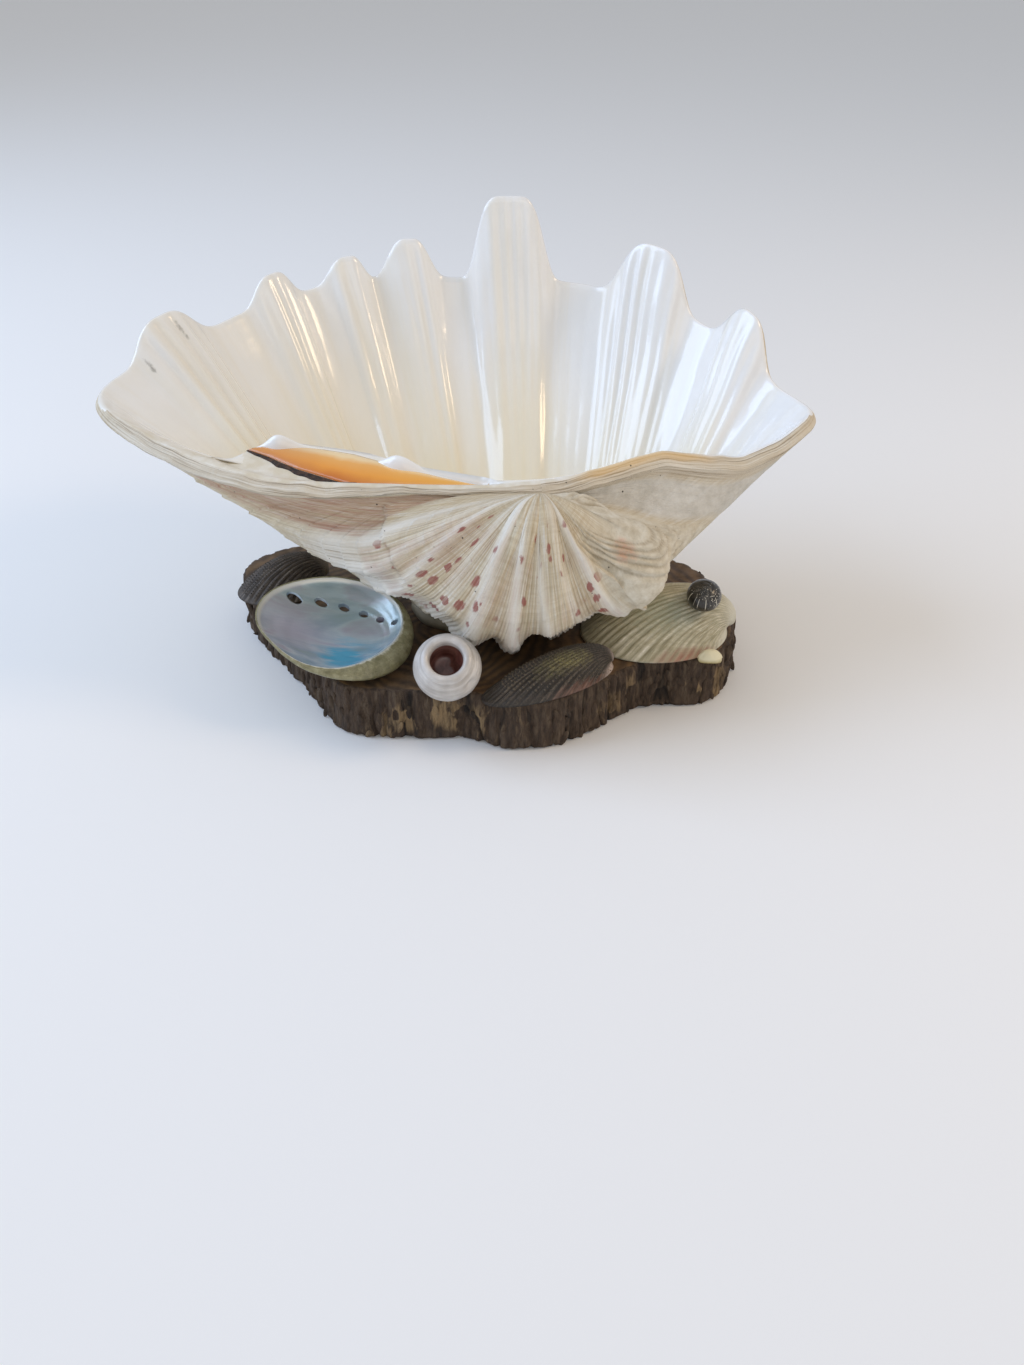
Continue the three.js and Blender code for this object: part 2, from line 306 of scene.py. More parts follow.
@dataclass
class Skin:
    """Rows of points that wrap a closed body, from one pole to the other.

    rows has the shape (rows, columns, 3), in millimetres. point holds numbers for the vertices, one for
    each row and column, and corner holds numbers for the face corners, with one more column that closes
    the round, so that a pattern has no seam. growth is the UV map: two arrays like those in corner.
    """

    rows: np.ndarray
    point: dict[str, np.ndarray] = field(default_factory=dict)
    corner: dict[str, np.ndarray] = field(default_factory=dict)
    growth: tuple[np.ndarray, np.ndarray] | None = None
    poles: tuple[np.ndarray, np.ndarray] | None = None

    def build(self, name: str, turned: bool | None = None) -> bpy.types.Object:
        """Makes the mesh.

        Args:
            name: the piece's name.
            turned: whether to turn the faces round, or None to find it from the volume.

        Returns:
            The new object, in the scene, at the origin.
        """
        r, n, _ = self.rows.shape
        first, last = self.poles or (self.rows[0].mean(0), self.rows[-1].mean(0))
        spots = np.vstack([self.rows.reshape(-1, 3), first, last])
        top, bottom = r * n, r * n + 1
        i = np.arange(n)
        j = (i + 1) % n
        a = (np.arange(r - 1)[:, None] * n + i).ravel()
        b = (np.arange(r - 1)[:, None] * n + j).ravel()
        quads = np.stack([a, b, b + n, a + n], 1)
        row = np.repeat(np.arange(r - 1), n)
        column = np.tile(i, r - 1)
        wide = n + 1
        quad_corner = np.stack([row * wide + column, row * wide + column + 1,
                                (row + 1) * wide + column + 1, (row + 1) * wide + column], 1)
        low = np.stack([np.full(n, top), j, i], 1)
        low_corner = np.stack([i, i + 1, i], 1)
        high = np.stack([np.full(n, bottom), (r - 1) * n + i, (r - 1) * n + j], 1)
        high_corner = (r - 1) * wide + np.stack([i, i, i + 1], 1)
        tris = np.vstack([low, high])
        if turned is None:
            turned = signed_volume(spots, quads, tris) < 0
        corners = [quad_corner, np.vstack([low_corner, high_corner])]
        if turned:
            quads, tris = quads[:, ::-1], tris[:, ::-1]
            corners = [c[:, ::-1] for c in corners]
        mesh = bpy.data.meshes.new(name)
        mesh.from_pydata((spots * MM).tolist(), [], quads.tolist() + tris.tolist())
        order = np.concatenate([c.ravel() for c in corners])
        for key, values in self.point.items():
            values = np.broadcast_to(values, (r, n, *np.shape(values)[2:]))
            kind, slot = ("FLOAT_VECTOR", "vector") if values.ndim == 3 else ("FLOAT", "value")
            flat_values = values.reshape(r * n, -1)
            ends = [flat_values[:n].mean(0)[None], flat_values[-n:].mean(0)[None]]
            full = np.concatenate([flat_values, *ends])
            layer = mesh.attributes.new(key, kind, "POINT")
            layer.data.foreach_set(slot, full.astype(np.float32).ravel())
        for key, values in self.corner.items():
            layer = mesh.attributes.new(key, "FLOAT", "CORNER")
            full = np.broadcast_to(values, (r, wide)).ravel()[order]
            layer.data.foreach_set("value", full.astype(np.float32))
        if self.growth:
            uv = np.stack([np.broadcast_to(v, (r, wide)).ravel()[order] for v in self.growth], 1)
            mesh.uv_layers.new(name="growth").data.foreach_set("uv", uv.astype(np.float32).ravel())
        mesh.polygons.foreach_set("use_smooth", [True] * len(mesh.polygons))
        return link(name, mesh)


def signed_volume(spots: np.ndarray, *faces: np.ndarray) -> float:
    """Volume inside a closed set of faces.

    Args:
        spots: places of the vertices.
        *faces: groups of faces with three or four corners each.

    Returns:
        The volume, negative if the faces point inwards.
    """
    total = 0.0
    for group in faces:
        for k in range(1, group.shape[1] - 1):
            a, b, c = spots[group[:, 0]], spots[group[:, k]], spots[group[:, k + 1]]
            total += (a * np.cross(b, c)).sum() / 6
    return total


def link(name: str, mesh: bpy.types.Mesh) -> bpy.types.Object:
    """Puts a mesh in the scene.

    Args:
        name: the new object's name.
        mesh: its mesh.

    Returns:
        The new object.
    """
    mesh.validate()
    piece = bpy.data.objects.new(name, mesh)
    bpy.context.scene.collection.objects.link(piece)
    return piece


def closing(values: np.ndarray) -> np.ndarray:
    """Repeats the first column after the last, for a round with no seam."""
    return np.concatenate([values, values[..., :1]], -1)


def spots_of(piece: bpy.types.Object) -> np.ndarray:
    """Reads the vertex places of a piece.

    Args:
        piece: the object.

    Returns:
        One place for each vertex, in metres.
    """
    spots = np.zeros(len(piece.data.vertices) * 3, np.float32)
    piece.data.vertices.foreach_get("co", spots)
    return spots.reshape(-1, 3).astype(float)


def move_spots(piece: bpy.types.Object, spots: np.ndarray) -> None:
    """Sets the vertex places of a piece, in metres."""
    piece.data.vertices.foreach_set("co", spots.astype(np.float32).ravel())
    piece.data.update()


def faces_of(piece: bpy.types.Object) -> BVHTree:
    """Faces of a piece, for finding where a line meets it."""
    return BVHTree.FromPolygons(
        [v.co.copy() for v in piece.data.vertices], [list(p.vertices) for p in piece.data.polygons])


def apply(piece: bpy.types.Object, modifier: bpy.types.Modifier) -> None:
    """Keeps what a modifier makes as the piece's plain mesh, and removes the modifier.

    Args:
        piece: the object.
        modifier: its modifier.
    """
    graph = bpy.context.evaluated_depsgraph_get()
    mesh = bpy.data.meshes.new_from_object(
        piece.evaluated_get(graph), preserve_all_data_layers=True, depsgraph=graph)
    piece.modifiers.remove(modifier)
    piece.data = mesh
    mesh.name = piece.name


def dress(piece: bpy.types.Object, *finishes: bpy.types.Material, second: tuple[slice, ...] = ()) -> None:
    """Gives a piece its finishes.

    Args:
        piece: the object.
        *finishes: its materials.
        second: the runs of faces that get the second one.
    """
    for finish in finishes:
        piece.data.materials.append(finish)
    index = np.zeros(len(piece.data.polygons), int)
    for run in second:
        index[run] = 1
    piece.data.polygons.foreach_set("material_index", index)


def hand_over(piece: bpy.types.Object, node: str) -> bpy.types.Object:
    """Keeps a piece inside the CAD node's box, and gives it the node's place and body.

    Args:
        piece: the finished piece.
        node: the CAD node that it stands for.

    Returns:
        The piece.
    """
    low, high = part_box(node)
    move_spots(piece, np.clip(spots_of(piece), np.array(low), np.array(high)))
    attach(piece, BODY)
    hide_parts(node)
    LOG.info("%s stands for %s with %d faces", piece.name, node, len(piece.data.polygons))
    return piece


# ------------------------------------------------------- geometry node recipes


@dataclass
class Recipe:
    """A Geometry Nodes tree and the identifiers of its named inputs."""

    tree: bpy.types.NodeTree
    ids: dict[str, str]

    @classmethod
    def begin(cls, name: str, sockets: dict[str, object]) -> tuple["Recipe", bpy.types.Node]:
        """Starts a tree with a geometry input, a geometry output and named inputs.

        Args:
            name: the tree's name.
            sockets: each input's name with its default, or None for a material.

        Returns:
            The recipe and its group input node.
        """
        tree = bpy.data.node_groups.new(name, "GeometryNodeTree")
        tree.interface.new_socket(name="Geometry", in_out="INPUT", socket_type="NodeSocketGeometry")
        tree.interface.new_socket(name="Geometry", in_out="OUTPUT", socket_type="NodeSocketGeometry")
        ids = {}
        for key, value in sockets.items():
            kind = {type(None): "Material", tuple: "Vector", int: "Int"}.get(type(value), "Float")
            made = tree.interface.new_socket(name=key, in_out="INPUT", socket_type=f"NodeSocket{kind}")
            if value is not None:
                made.default_value = value
            ids[key] = made.identifier
        return cls(tree, ids), add(tree, "NodeGroupInput")

    def bake(self, piece: bpy.types.Object, **values: object) -> bpy.types.Object:
        """Runs the tree on a piece and keeps the result as a plain mesh.

        Args:
            piece: the object that carries the modifier.
            **values: inputs, by name with spaces as underscores.

        Returns:
            The piece with its new mesh.
        """
        modifier = piece.modifiers.new(self.tree.name, "NODES")
        modifier.node_group = self.tree
        for key, value in values.items():
            modifier[self.ids[key.replace("_", " ")]] = value
        apply(piece, modifier)
        return piece


def growth_recipe() -> Recipe:
    """How a bivalve grows: each growth line is the rim turned about the hinge and shrunk.

    The mesh's "line" is the rim point in the rim plane, "turn" its angle about the hinge in radians,
    "belly" a share of its depth, "axis" the hinge that it turns about, "outer" 1 on the outside,
    "skin" 1 where the outside finish goes, and "relief" its height along the normal.

    Returns:
        The recipe.
    """
    recipe, start = Recipe.begin("valve_growth", {
        "Shrink Outside": 0.5, "Shrink Inside": 0.6, "Curl": 0.0, "Curl From": 1.9, "Sense": 1.0,
        "Rotation": (0.0, 0.0, 0.0), "Seat": (0.0, 0.0, 0.0), "Outside": None, "Inside": None,
    })
    tree = recipe.tree
    named = {
        key: add(tree, "GeometryNodeInputNamedAttribute", {"Name": key}, data_type=kind)
        for key, kind in (
            ("line", "FLOAT_VECTOR"), ("turn", "FLOAT"), ("belly", "FLOAT"), ("axis", "FLOAT_VECTOR"),
            ("outer", "FLOAT"), ("relief", "FLOAT"), ("skin", "FLOAT"))
    }
    given = start.outputs
    past = add(tree, MATH, {0: named["turn"], 1: given["Curl From"]}, operation="SUBTRACT")
    past = add(tree, MATH, {0: past, 1: 0.0}, operation="MAXIMUM")
    past = add(tree, MATH, {0: past, 1: past}, operation="MULTIPLY")
    past = add(tree, MATH, {0: past, 1: given["Curl"]}, operation="MULTIPLY")
    rate = add(tree, MIX, {0: named["outer"], 2: given["Shrink Inside"], 3: given["Shrink Outside"]},
               data_type="FLOAT")
    power = add(tree, MATH, {0: rate, 1: named["turn"], 2: past}, operation="MULTIPLY_ADD")
    power = add(tree, MATH, {0: power, 1: -1.0}, operation="MULTIPLY")
    shrink = add(tree, MATH, {0: power}, operation="EXPONENT")
    deep = add(tree, MATH, {0: shrink, 1: named["belly"]}, operation="MULTIPLY")
    cosine = add(tree, MATH, {0: named["turn"]}, operation="COSINE")
    sine = add(tree, MATH, {0: named["turn"]}, operation="SINE")
    sine = add(tree, MATH, {0: sine, 1: given["Sense"]}, operation="MULTIPLY")
    line = add(tree, SPLIT, {0: named["line"]})
    across = add(tree, MATH, {0: line.outputs[0], 1: shrink}, operation="MULTIPLY")
    part = add(tree, MATH, {0: line.outputs[2], 1: sine}, operation="MULTIPLY")
    back = add(tree, MATH, {0: line.outputs[1], 1: cosine, 2: part}, operation="MULTIPLY_ADD")
    back = add(tree, MATH, {0: back, 1: deep}, operation="MULTIPLY")
    part = add(tree, MATH, {0: line.outputs[1], 1: sine}, operation="MULTIPLY")
    up = add(tree, MATH, {0: line.outputs[2], 1: cosine}, operation="MULTIPLY")
    up = add(tree, MATH, {0: up, 1: part}, operation="SUBTRACT")
    up = add(tree, MATH, {0: up, 1: deep}, operation="MULTIPLY")
    spot = add(tree, JOIN, {0: across, 1: back, 2: up})
    spot = add(tree, VECTOR, {0: spot, 1: named["axis"]}, operation="ADD")
    spot = add(tree, "ShaderNodeVectorRotate", {"Vector": spot, "Rotation": given["Rotation"]},
               rotation_type="EULER_XYZ")
    spot = add(tree, VECTOR, {0: spot, 1: given["Seat"]}, operation="ADD")
    grown = add(tree, "GeometryNodeSetPosition", {"Geometry": given["Geometry"], "Position": spot})
    lift = add(tree, VECTOR, {0: add(tree, "GeometryNodeInputNormal"), "Scale": named["relief"]},
               operation="SCALE")
    raised = add(tree, "GeometryNodeSetPosition", {"Geometry": grown, "Offset": lift})
    real = add(tree, "GeometryNodeRealizeInstances", {0: raised})
    inside = add(tree, "GeometryNodeSetMaterial", {"Geometry": real, "Material": given["Inside"]})
    is_out = add(tree, "FunctionNodeCompare", {0: named["skin"], 1: 0.5}, operation="GREATER_THAN",
                 data_type="FLOAT")
    both = add(tree, "GeometryNodeSetMaterial", {
        "Geometry": inside, "Selection": is_out, "Material": given["Outside"]})
    add(tree, "NodeGroupOutput", {0: both})
    return recipe


def bead_recipe() -> Recipe:
    """Beads strung along lines: each edge chain of the mesh becomes a curve with a bead at each step.

    Returns:
        The recipe.
    """
    recipe, start = Recipe.begin("rib_beads", {
        "Spacing": 0.0012, "Bead": (0.0006, 0.0004, 0.0003), "Spread": 0.3, "Seed": 4, "Finish": None,
    })
    tree = recipe.tree
    given = start.outputs
    curve = add(tree, "GeometryNodeMeshToCurve", {"Mesh": given["Geometry"]})
    points = add(tree, "GeometryNodeCurveToPoints", {"Curve": curve, "Length": given["Spacing"]},
                 mode="LENGTH")
    bead = add(tree, "GeometryNodeMeshIcoSphere", {"Radius": 1.0, "Subdivisions": 1})
    low = add(tree, MATH, {0: 1.0, 1: given["Spread"]}, operation="SUBTRACT")
    high = add(tree, MATH, {0: 1.0, 1: given["Spread"]}, operation="ADD")
    chance = add(tree, "FunctionNodeRandomValue", {2: low, 3: high, "Seed": given["Seed"]},
                 data_type="FLOAT")
    size = add(tree, "GeometryNodeInputNamedAttribute", {"Name": "size"}, data_type="FLOAT")
    scale = add(tree, MATH, {0: size, 1: chance.outputs[1]}, operation="MULTIPLY")
    scale = add(tree, VECTOR, {0: given["Bead"], "Scale": scale}, operation="SCALE")
    strung = add(tree, "GeometryNodeInstanceOnPoints", {
        "Points": points, "Instance": bead, "Rotation": points.outputs["Rotation"], "Scale": scale})
    real = add(tree, "GeometryNodeRealizeInstances", {0: strung})
    soft = add(tree, "GeometryNodeSetShadeSmooth", {0: real})
    done = add(tree, "GeometryNodeSetMaterial", {"Geometry": soft, "Material": given["Finish"]})
    add(tree, "NodeGroupOutput", {0: done})
    return recipe


def flake_recipe() -> Recipe:
    """Loose flakes of bark scattered over the faces marked by "bark".

    Returns:
        The recipe.
    """
    recipe, start = Recipe.begin("bark_flakes", {
        "Spacing": 0.004, "Flake": (0.0011, 0.0032, 0.0005), "Spread": 0.45, "Seed": 11, "Finish": None,
    })
    tree = recipe.tree
    given = start.outputs
    bark = add(tree, "GeometryNodeInputNamedAttribute", {"Name": "bark"}, data_type="FLOAT")
    many = add(tree, MATH, {0: 1.0, 1: given["Spacing"]}, operation="DIVIDE")
    many = add(tree, MATH, {0: many, 1: many}, operation="MULTIPLY")
    points = add(tree, "GeometryNodeDistributePointsOnFaces", {
        "Mesh": given["Geometry"], "Distance Min": given["Spacing"], "Density Max": many,
        "Density Factor": bark, "Seed": given["Seed"]}, distribute_method="POISSON")
    chip = add(tree, "GeometryNodeMeshIcoSphere", {"Radius": 1.0, "Subdivisions": 2})
    facing = add(tree, "FunctionNodeAlignRotationToVector", {
        "Vector": points.outputs["Normal"]}, axis="Z", pivot_axis="X")
    sway = add(tree, "FunctionNodeRandomValue", {
        0: (-0.12, -0.12, -0.45), 1: (0.12, 0.12, 0.45), "Seed": given["Seed"]}, data_type="FLOAT_VECTOR")
    twist = add(tree, "FunctionNodeRotateRotation", {
        "Rotation": facing, "Rotate By": sway.outputs[0]}, rotation_space="LOCAL")
    low = add(tree, MATH, {0: 1.0, 1: given["Spread"]}, operation="SUBTRACT")
    high = add(tree, MATH, {0: 1.0, 1: given["Spread"]}, operation="ADD")
    chance = add(tree, "FunctionNodeRandomValue", {
        2: low, 3: high, "Seed": given["Seed"]}, data_type="FLOAT")
    scale = add(tree, VECTOR, {0: given["Flake"], "Scale": chance.outputs[1]}, operation="SCALE")
    laid = add(tree, "GeometryNodeInstanceOnPoints", {
        "Points": points, "Instance": chip, "Rotation": twist, "Scale": scale})
    real = add(tree, "GeometryNodeRealizeInstances", {0: laid})
    done = add(tree, "GeometryNodeSetMaterial", {"Geometry": real, "Material": given["Finish"]})
    add(tree, "NodeGroupOutput", {0: done})
    return recipe


def hole_recipe() -> Recipe:
    """Plugs along a path, for cutting a row of holes: each vertex of the path gets one of its own "size".

    Returns:
        The recipe.
    """
    recipe, start = Recipe.begin("row_of_holes", {"Depth": 0.02, "Narrow": 0.6, "Rotation": (0.0, 0.0, 0.0)})
    tree = recipe.tree
    given = start.outputs
    size = add(tree, "GeometryNodeInputNamedAttribute", {"Name": "size"}, data_type="FLOAT")
    plug = add(tree, "GeometryNodeMeshCylinder", {"Vertices": 28, "Radius": 0.5, "Depth": given["Depth"]})
    narrow = add(tree, MATH, {0: size, 1: given["Narrow"]}, operation="MULTIPLY")
    scale = add(tree, JOIN, {0: size, 1: narrow, 2: 1.0})
    row = add(tree, "GeometryNodeInstanceOnPoints", {
        "Points": given["Geometry"], "Instance": plug.outputs["Mesh"], "Rotation": given["Rotation"],
        "Scale": scale})
    real = add(tree, "GeometryNodeRealizeInstances", {0: row})
    add(tree, "NodeGroupOutput", {0: real})
    return recipe


# ------------------------------------------------------------------- finishes


def begin_finish(
    name: str, **sockets: object,
) -> tuple[bpy.types.Material, bpy.types.NodeTree, bpy.types.Node]:
    """A new material with a Principled surface.

    Args:
        name: the material's name.
        **sockets: constants for the surface's sockets, with spaces as underscores.

    Returns:
        The material, its node tree and the surface node.
    """
    material = bpy.data.materials.new(name)
    material.use_nodes = True
    tree = material.node_tree
    tree.nodes.clear()
    surface = add(tree, "ShaderNodeBsdfPrincipled", {k.replace("_", " "): v for k, v in sockets.items()})
    add(tree, "ShaderNodeOutputMaterial", {"Surface": surface})
    return material, tree, surface


@dataclass(frozen=True)
class PorcelainShell:
    """Aragonite laid down smooth inside the valve: a white glaze that turns cream with depth, and its left
    part more cream as painted warm light.
    """

    white: str = "#F7F7F6"
    cream: str = "#EDDFBA"
    stain: str = "#D9C08C"
    streak: str = "#6F6A5E"
    sand: str = "#D9CDB3"
    wax: str = "#E3BC72"

    def material(self) -> bpy.types.Material:
        """Builds the material.

        Returns:
            The material.
        """
        material, tree, surface = begin_finish(
            "aragonite_polished_inside", IOR=1.58, Coat_Weight=0.5, Coat_Roughness=0.06, Coat_IOR=1.5)
        spot = add(tree, "ShaderNodeTexCoord").outputs["Object"]
        growth = add(tree, "ShaderNodeUVMap", uv_map="growth")
        named = {
            key: add(tree, ATTRIBUTE, attribute_name=key).outputs["Fac"]
            for key in ("turned", "old", "stain", "streak", "sand", "wax")
        }
        cloud = add(tree, NOISE, {"Vector": spot, "Scale": per_metre(45), "Detail": 3.0})
        depth = add(tree, RANGE, {0: named["turned"], 1: 2.0, 2: 46.0}, interpolation_type="SMOOTHSTEP")
        shade = add(tree, MATH, {0: cloud, 1: 0.5, 2: depth}, operation="MULTIPLY_ADD")
        # Painted warm light: the left part of the inside, which faces the warm lamp, is tinted more cream.
        shade = add(tree, MATH, {0: named["old"], 1: 0.35, 2: shade}, operation="MULTIPLY_ADD")
        shade = add(tree, RANGE, {0: shade, 1: 0.4, 2: 1.75})
        base = add(tree, MIX, {0: shade, 6: self.white, 7: self.cream}, data_type="RGBA")
        # Rays of slightly deeper cream run down the grooves, a few millimetres wide.
        rays = add(tree, VECTOR, {0: growth, 1: (0.7, 0.12, 1.0)}, operation="MULTIPLY")
        rays = add(tree, NOISE, {"Vector": rays, "Scale": 1.0, "Detail": 4.0, "Roughness": 0.6})
        patch, gritty, worn, ripple = (
            add(tree, NOISE, {"Vector": spot, "Scale": per_metre(size), "Detail": detail})
            for size, detail in ((9, 3.0), (6, 4.0), (2, 3.0), (5, 2.0)))
        gritty = add(tree, RANGE, {0: gritty, 1: 0.3, 2: 0.6, 3: 0.35, 4: 0.95})
        base = painted(
            tree, base,
            (rays, 1.0, 0.48, 0.75, 0.42, self.cream),
            (patch, named["stain"], 0.2, 0.6, 0.6, self.stain),
            (gritty, named["sand"], *WHOLE, self.sand),
            (named["wax"], 1.0, *WHOLE, self.wax),
            (worn, named["streak"], 0.28, 0.55, 0.62, self.streak))
        bump = add(tree, BUMP, {"Strength": 0.3, "Distance": 0.0004, "Height": ripple})
        rough = add(tree, RANGE, {0: cloud, 1: 0.3, 2: 0.7, 3: 0.12, 4: 0.24})
        rough = add(tree, MATH, {0: named["sand"], 1: 0.35, 2: rough}, operation="MULTIPLY_ADD")
        plug(surface, {"Base Color": base, "Roughness": rough, "Normal": bump})
        return material


@dataclass(frozen=True)
class ChalkyShell:
    """Weathered ribbed outside of the valve: dull cream lime with dirt and painted shade in the grooves, and
    rusty blotches.
    """

    cream: str = "#DACCAE"
    pale: str = "#ECE8DE"
    tan: str = "#BEA985"
    # Dirt and painted shade in the grooves and at the feet of the folds.
    groove: str = "#94805F"
    blotch: str = "#96483F"
    pink: str = "#B27D68"
    sand: tuple[str, str, str] = ("#C2B69E", "#D6CCB6", "#E5DECD")
    grey: tuple[str, str, str] = ("#C2BFB6", "#D3D0C8", "#E0DED7")
    edge: tuple[str, str, str] = ("#94826B", "#D2C5AE", "#E8E0D0")
    rust: str = "#C98A62"
    wax: str = "#E6C083"
    dirt: str = "#453B2E"

    def material(self) -> bpy.types.Material:
        """Builds the material.

        Returns:
            The material.
        """
        material, tree, surface = begin_finish("aragonite_weathered_outside", IOR=1.53)
        spot = add(tree, "ShaderNodeTexCoord").outputs["Object"]
        growth = add(tree, "ShaderNodeUVMap", uv_map="growth")
        named = {
            key: add(tree, ATTRIBUTE, attribute_name=key).outputs["Fac"]
            for key in ("crest", "ridge", "fan", "flank", "lunule", "grey", "rust", "wax", "chalk", "layers")
        }
        # Noise drawn out along the ribs or the growth lines, by how often it repeats in a centimetre across
        # and along the ribs: streaks 3 mm wide, bands 4 mm apart, stained rows 1 to 2 mm apart, layers of
        # the edge half a millimetre thick, growth lines under half a millimetre, and threads.
        streaks, bands, rows, layer, lines, threads = (
            add(tree, NOISE, {
                "Vector": add(tree, VECTOR, {0: growth, 1: (*often, 1.0)}, operation="MULTIPLY"),
                "Scale": 1.0, "Detail": detail, "Roughness": rough})
            for often, detail, rough in (
                ((3.2, 0.35), 5.0, 0.65), ((0.10, 4.2), 4.0, 0.6), ((2.6, 0.35), 4.0, 0.7),
                ((0.22, 26.0), 3.0, 0.6), ((0.35, 16.0), 3.0, 0.5), ((7.0, 0.5), 3.0, 0.5)))
        sandy, grime_and_shade, rosy, tooth = (
            add(tree, NOISE, {
                "Vector": spot, "Scale": per_metre(size), "Detail": detail, "Roughness": rough})
            for size, detail, rough in (
                (4.5, 5.0, 0.65), (14, 4.0, 0.5), (22, 3.0, 0.5), (1.1, 4.0, 0.7)))
        base, cream, stone, cut = (
            add(tree, RAMP, {0: share}, stops=list(zip(places, codes)))
            for share, places, codes in (
                (streaks, (0.32, 0.5, 0.68), (self.tan, self.cream, self.pale)),
                (sandy, (0.3, 0.48, 0.68), self.sand), (sandy, (0.3, 0.5, 0.7), self.grey),
                (layer, (0.34, 0.47, 0.62), self.edge)))
        # Rusty blotches, 1 to 3 mm on the fan and 7 mm apart, in the grain of the ribs.
        cells = add(tree, VECTOR, {0: growth, 1: (0.62, 1.25, 1.0)}, operation="MULTIPLY")
        warp = add(tree, NOISE, {"Vector": growth, "Scale": 3.1, "Detail": 3.0})
        cells = add(tree, VECTOR, {0: warp.outputs["Color"], 1: (0.42, 0.42, 0.0), 2: cells},
                    operation="MULTIPLY_ADD")
        cells = add(tree, CELLS, {"Vector": cells, "Scale": 1.0, "Randomness": 0.95})
        pick = add(tree, SPLIT, {0: cells.outputs["Color"]})
        size = add(tree, RANGE, {0: pick.outputs[0], 1: 0.4, 2: 1.0, 3: 0.04, 4: 0.5})
        near = add(tree, MATH, {0: size, 1: cells.outputs["Distance"]}, operation="SUBTRACT")
        near = add(tree, RANGE, {0: near, 1: -0.05, 2: 0.11})
        # Bore holes of tiny worms, up to 0.8 mm across and 6 mm apart.
        bores = add(tree, CELLS, {"Vector": spot, "Scale": per_metre(4)})
        hole = add(tree, SPLIT, {0: bores.outputs["Color"]})
        reach = add(tree, RANGE, {0: hole.outputs[1], 1: 0.5, 2: 1.0, 3: 0.0, 4: 0.11})
        hole = add(tree, MATH, {0: reach, 1: bores.outputs["Distance"]}, operation="SUBTRACT")
        hole = add(tree, RANGE, {0: hole, 1: 0.0, 2: 0.03})
        low = add(tree, MATH, {0: 1.0, 1: named["crest"]}, operation="SUBTRACT")
        fan = add(tree, MATH, {0: rows, 1: named["fan"]}, operation="MULTIPLY")
        base = painted(
            tree, base,
            (bands, 1.0, 0.42, 0.68, 0.55, self.tan),
            (named["chalk"], 1.0, *WHOLE, self.pale),
            (named["ridge"], 0.9, *WHOLE, self.pale),
            (named["lunule"], 1.0, *WHOLE, cream),
            (named["grey"], 0.85, *WHOLE, stone),
            (named["flank"], rows, 0.34, 0.66, 0.85, self.pink),
            (named["rust"], sandy, 0.34, 0.6, 0.6, self.rust),
            # Dirt and painted shade darken the grooves between the ribs, and a rosy tint drifts along those
            # of the fan.
            (low, grime_and_shade, 0.16, 0.55, 0.7, self.groove),
            (rosy, fan, 0.22, 0.44, 0.34, self.pink),
            (near, fan, 0.1, 0.5, 0.85, self.blotch),
            (named["layers"], 1.0, *WHOLE, cut),
            (named["wax"], 1.0, *WHOLE, self.wax),
            (hole, 1.0, *WHOLE, self.dirt))
        height = add(tree, MATH, {0: lines, 1: threads}, operation="ADD")
        height = add(tree, MATH, {0: tooth, 1: 0.9, 2: height}, operation="MULTIPLY_ADD")
        height = add(tree, MATH, {0: hole, 1: -2.0, 2: height}, operation="MULTIPLY_ADD")
        share = add(tree, MATH, {0: named["layers"], 1: layer}, operation="MULTIPLY")
        height = add(tree, MATH, {0: share, 1: 2.0, 2: height}, operation="MULTIPLY_ADD")
        bump = add(tree, BUMP, {"Strength": 0.6, "Distance": 0.0005, "Height": height})
        rough = add(tree, RANGE, {0: tooth, 1: 0.3, 2: 0.7, 3: 0.5, 4: 0.72})
        plug(surface, {"Base Color": base, "Roughness": rough, "Normal": bump})
        return material


@dataclass(frozen=True)
class HingeBand:
    """Horn-stained band of the hinge: amber under a wet-looking glaze, paler at its inner edge as a painted
    highlight.
    """

    amber: str = "#EE9C33"
    deep: str = "#CF7314"
    pale: str = "#F7D9A4"
    brown: str = "#CB8B57"
    yellow: str = "#F0B037"
    warm: str = "#F0AE55"

    def material(self) -> bpy.types.Material:
        """Builds the material.

        Returns:
            The material.
        """
        material, tree, surface = begin_finish(
            "conchiolin_stained_hinge", IOR=1.55, Roughness=0.26, Coat_Weight=0.6, Coat_Roughness=0.1)
        across = add(tree, ATTRIBUTE, attribute_name="across").outputs["Fac"]
        spot = add(tree, "ShaderNodeTexCoord").outputs["Object"]
        cloud = add(tree, NOISE, {"Vector": spot, "Scale": per_metre(16), "Detail": 3.0})
        # The inner edge is paler for a painted highlight; towards the outer edge the band is a deeper
        # orange.
        mixed = add(tree, MATH, {0: cloud, 1: 0.35, 2: across}, operation="MULTIPLY_ADD")
        base = add(tree, RAMP, {0: mixed}, stops=[
            (0.2, self.deep), (0.5, self.amber), (0.82, self.warm), (1.0, self.pale)])
        # The band is browner at its far end and yellow at the umbo.
        along = add(tree, ATTRIBUTE, attribute_name="along").outputs["Fac"]
        far = add(tree, RANGE, {0: along, 1: 0.0, 2: 0.35, 3: 0.75, 4: 0.0})
        base = painted(tree, base, (far, 1.0, *WHOLE, self.brown), (along, 1.0, 0.45, 1.0, 0.8, self.yellow))
        plug(surface, {"Base Color": base})
        return material


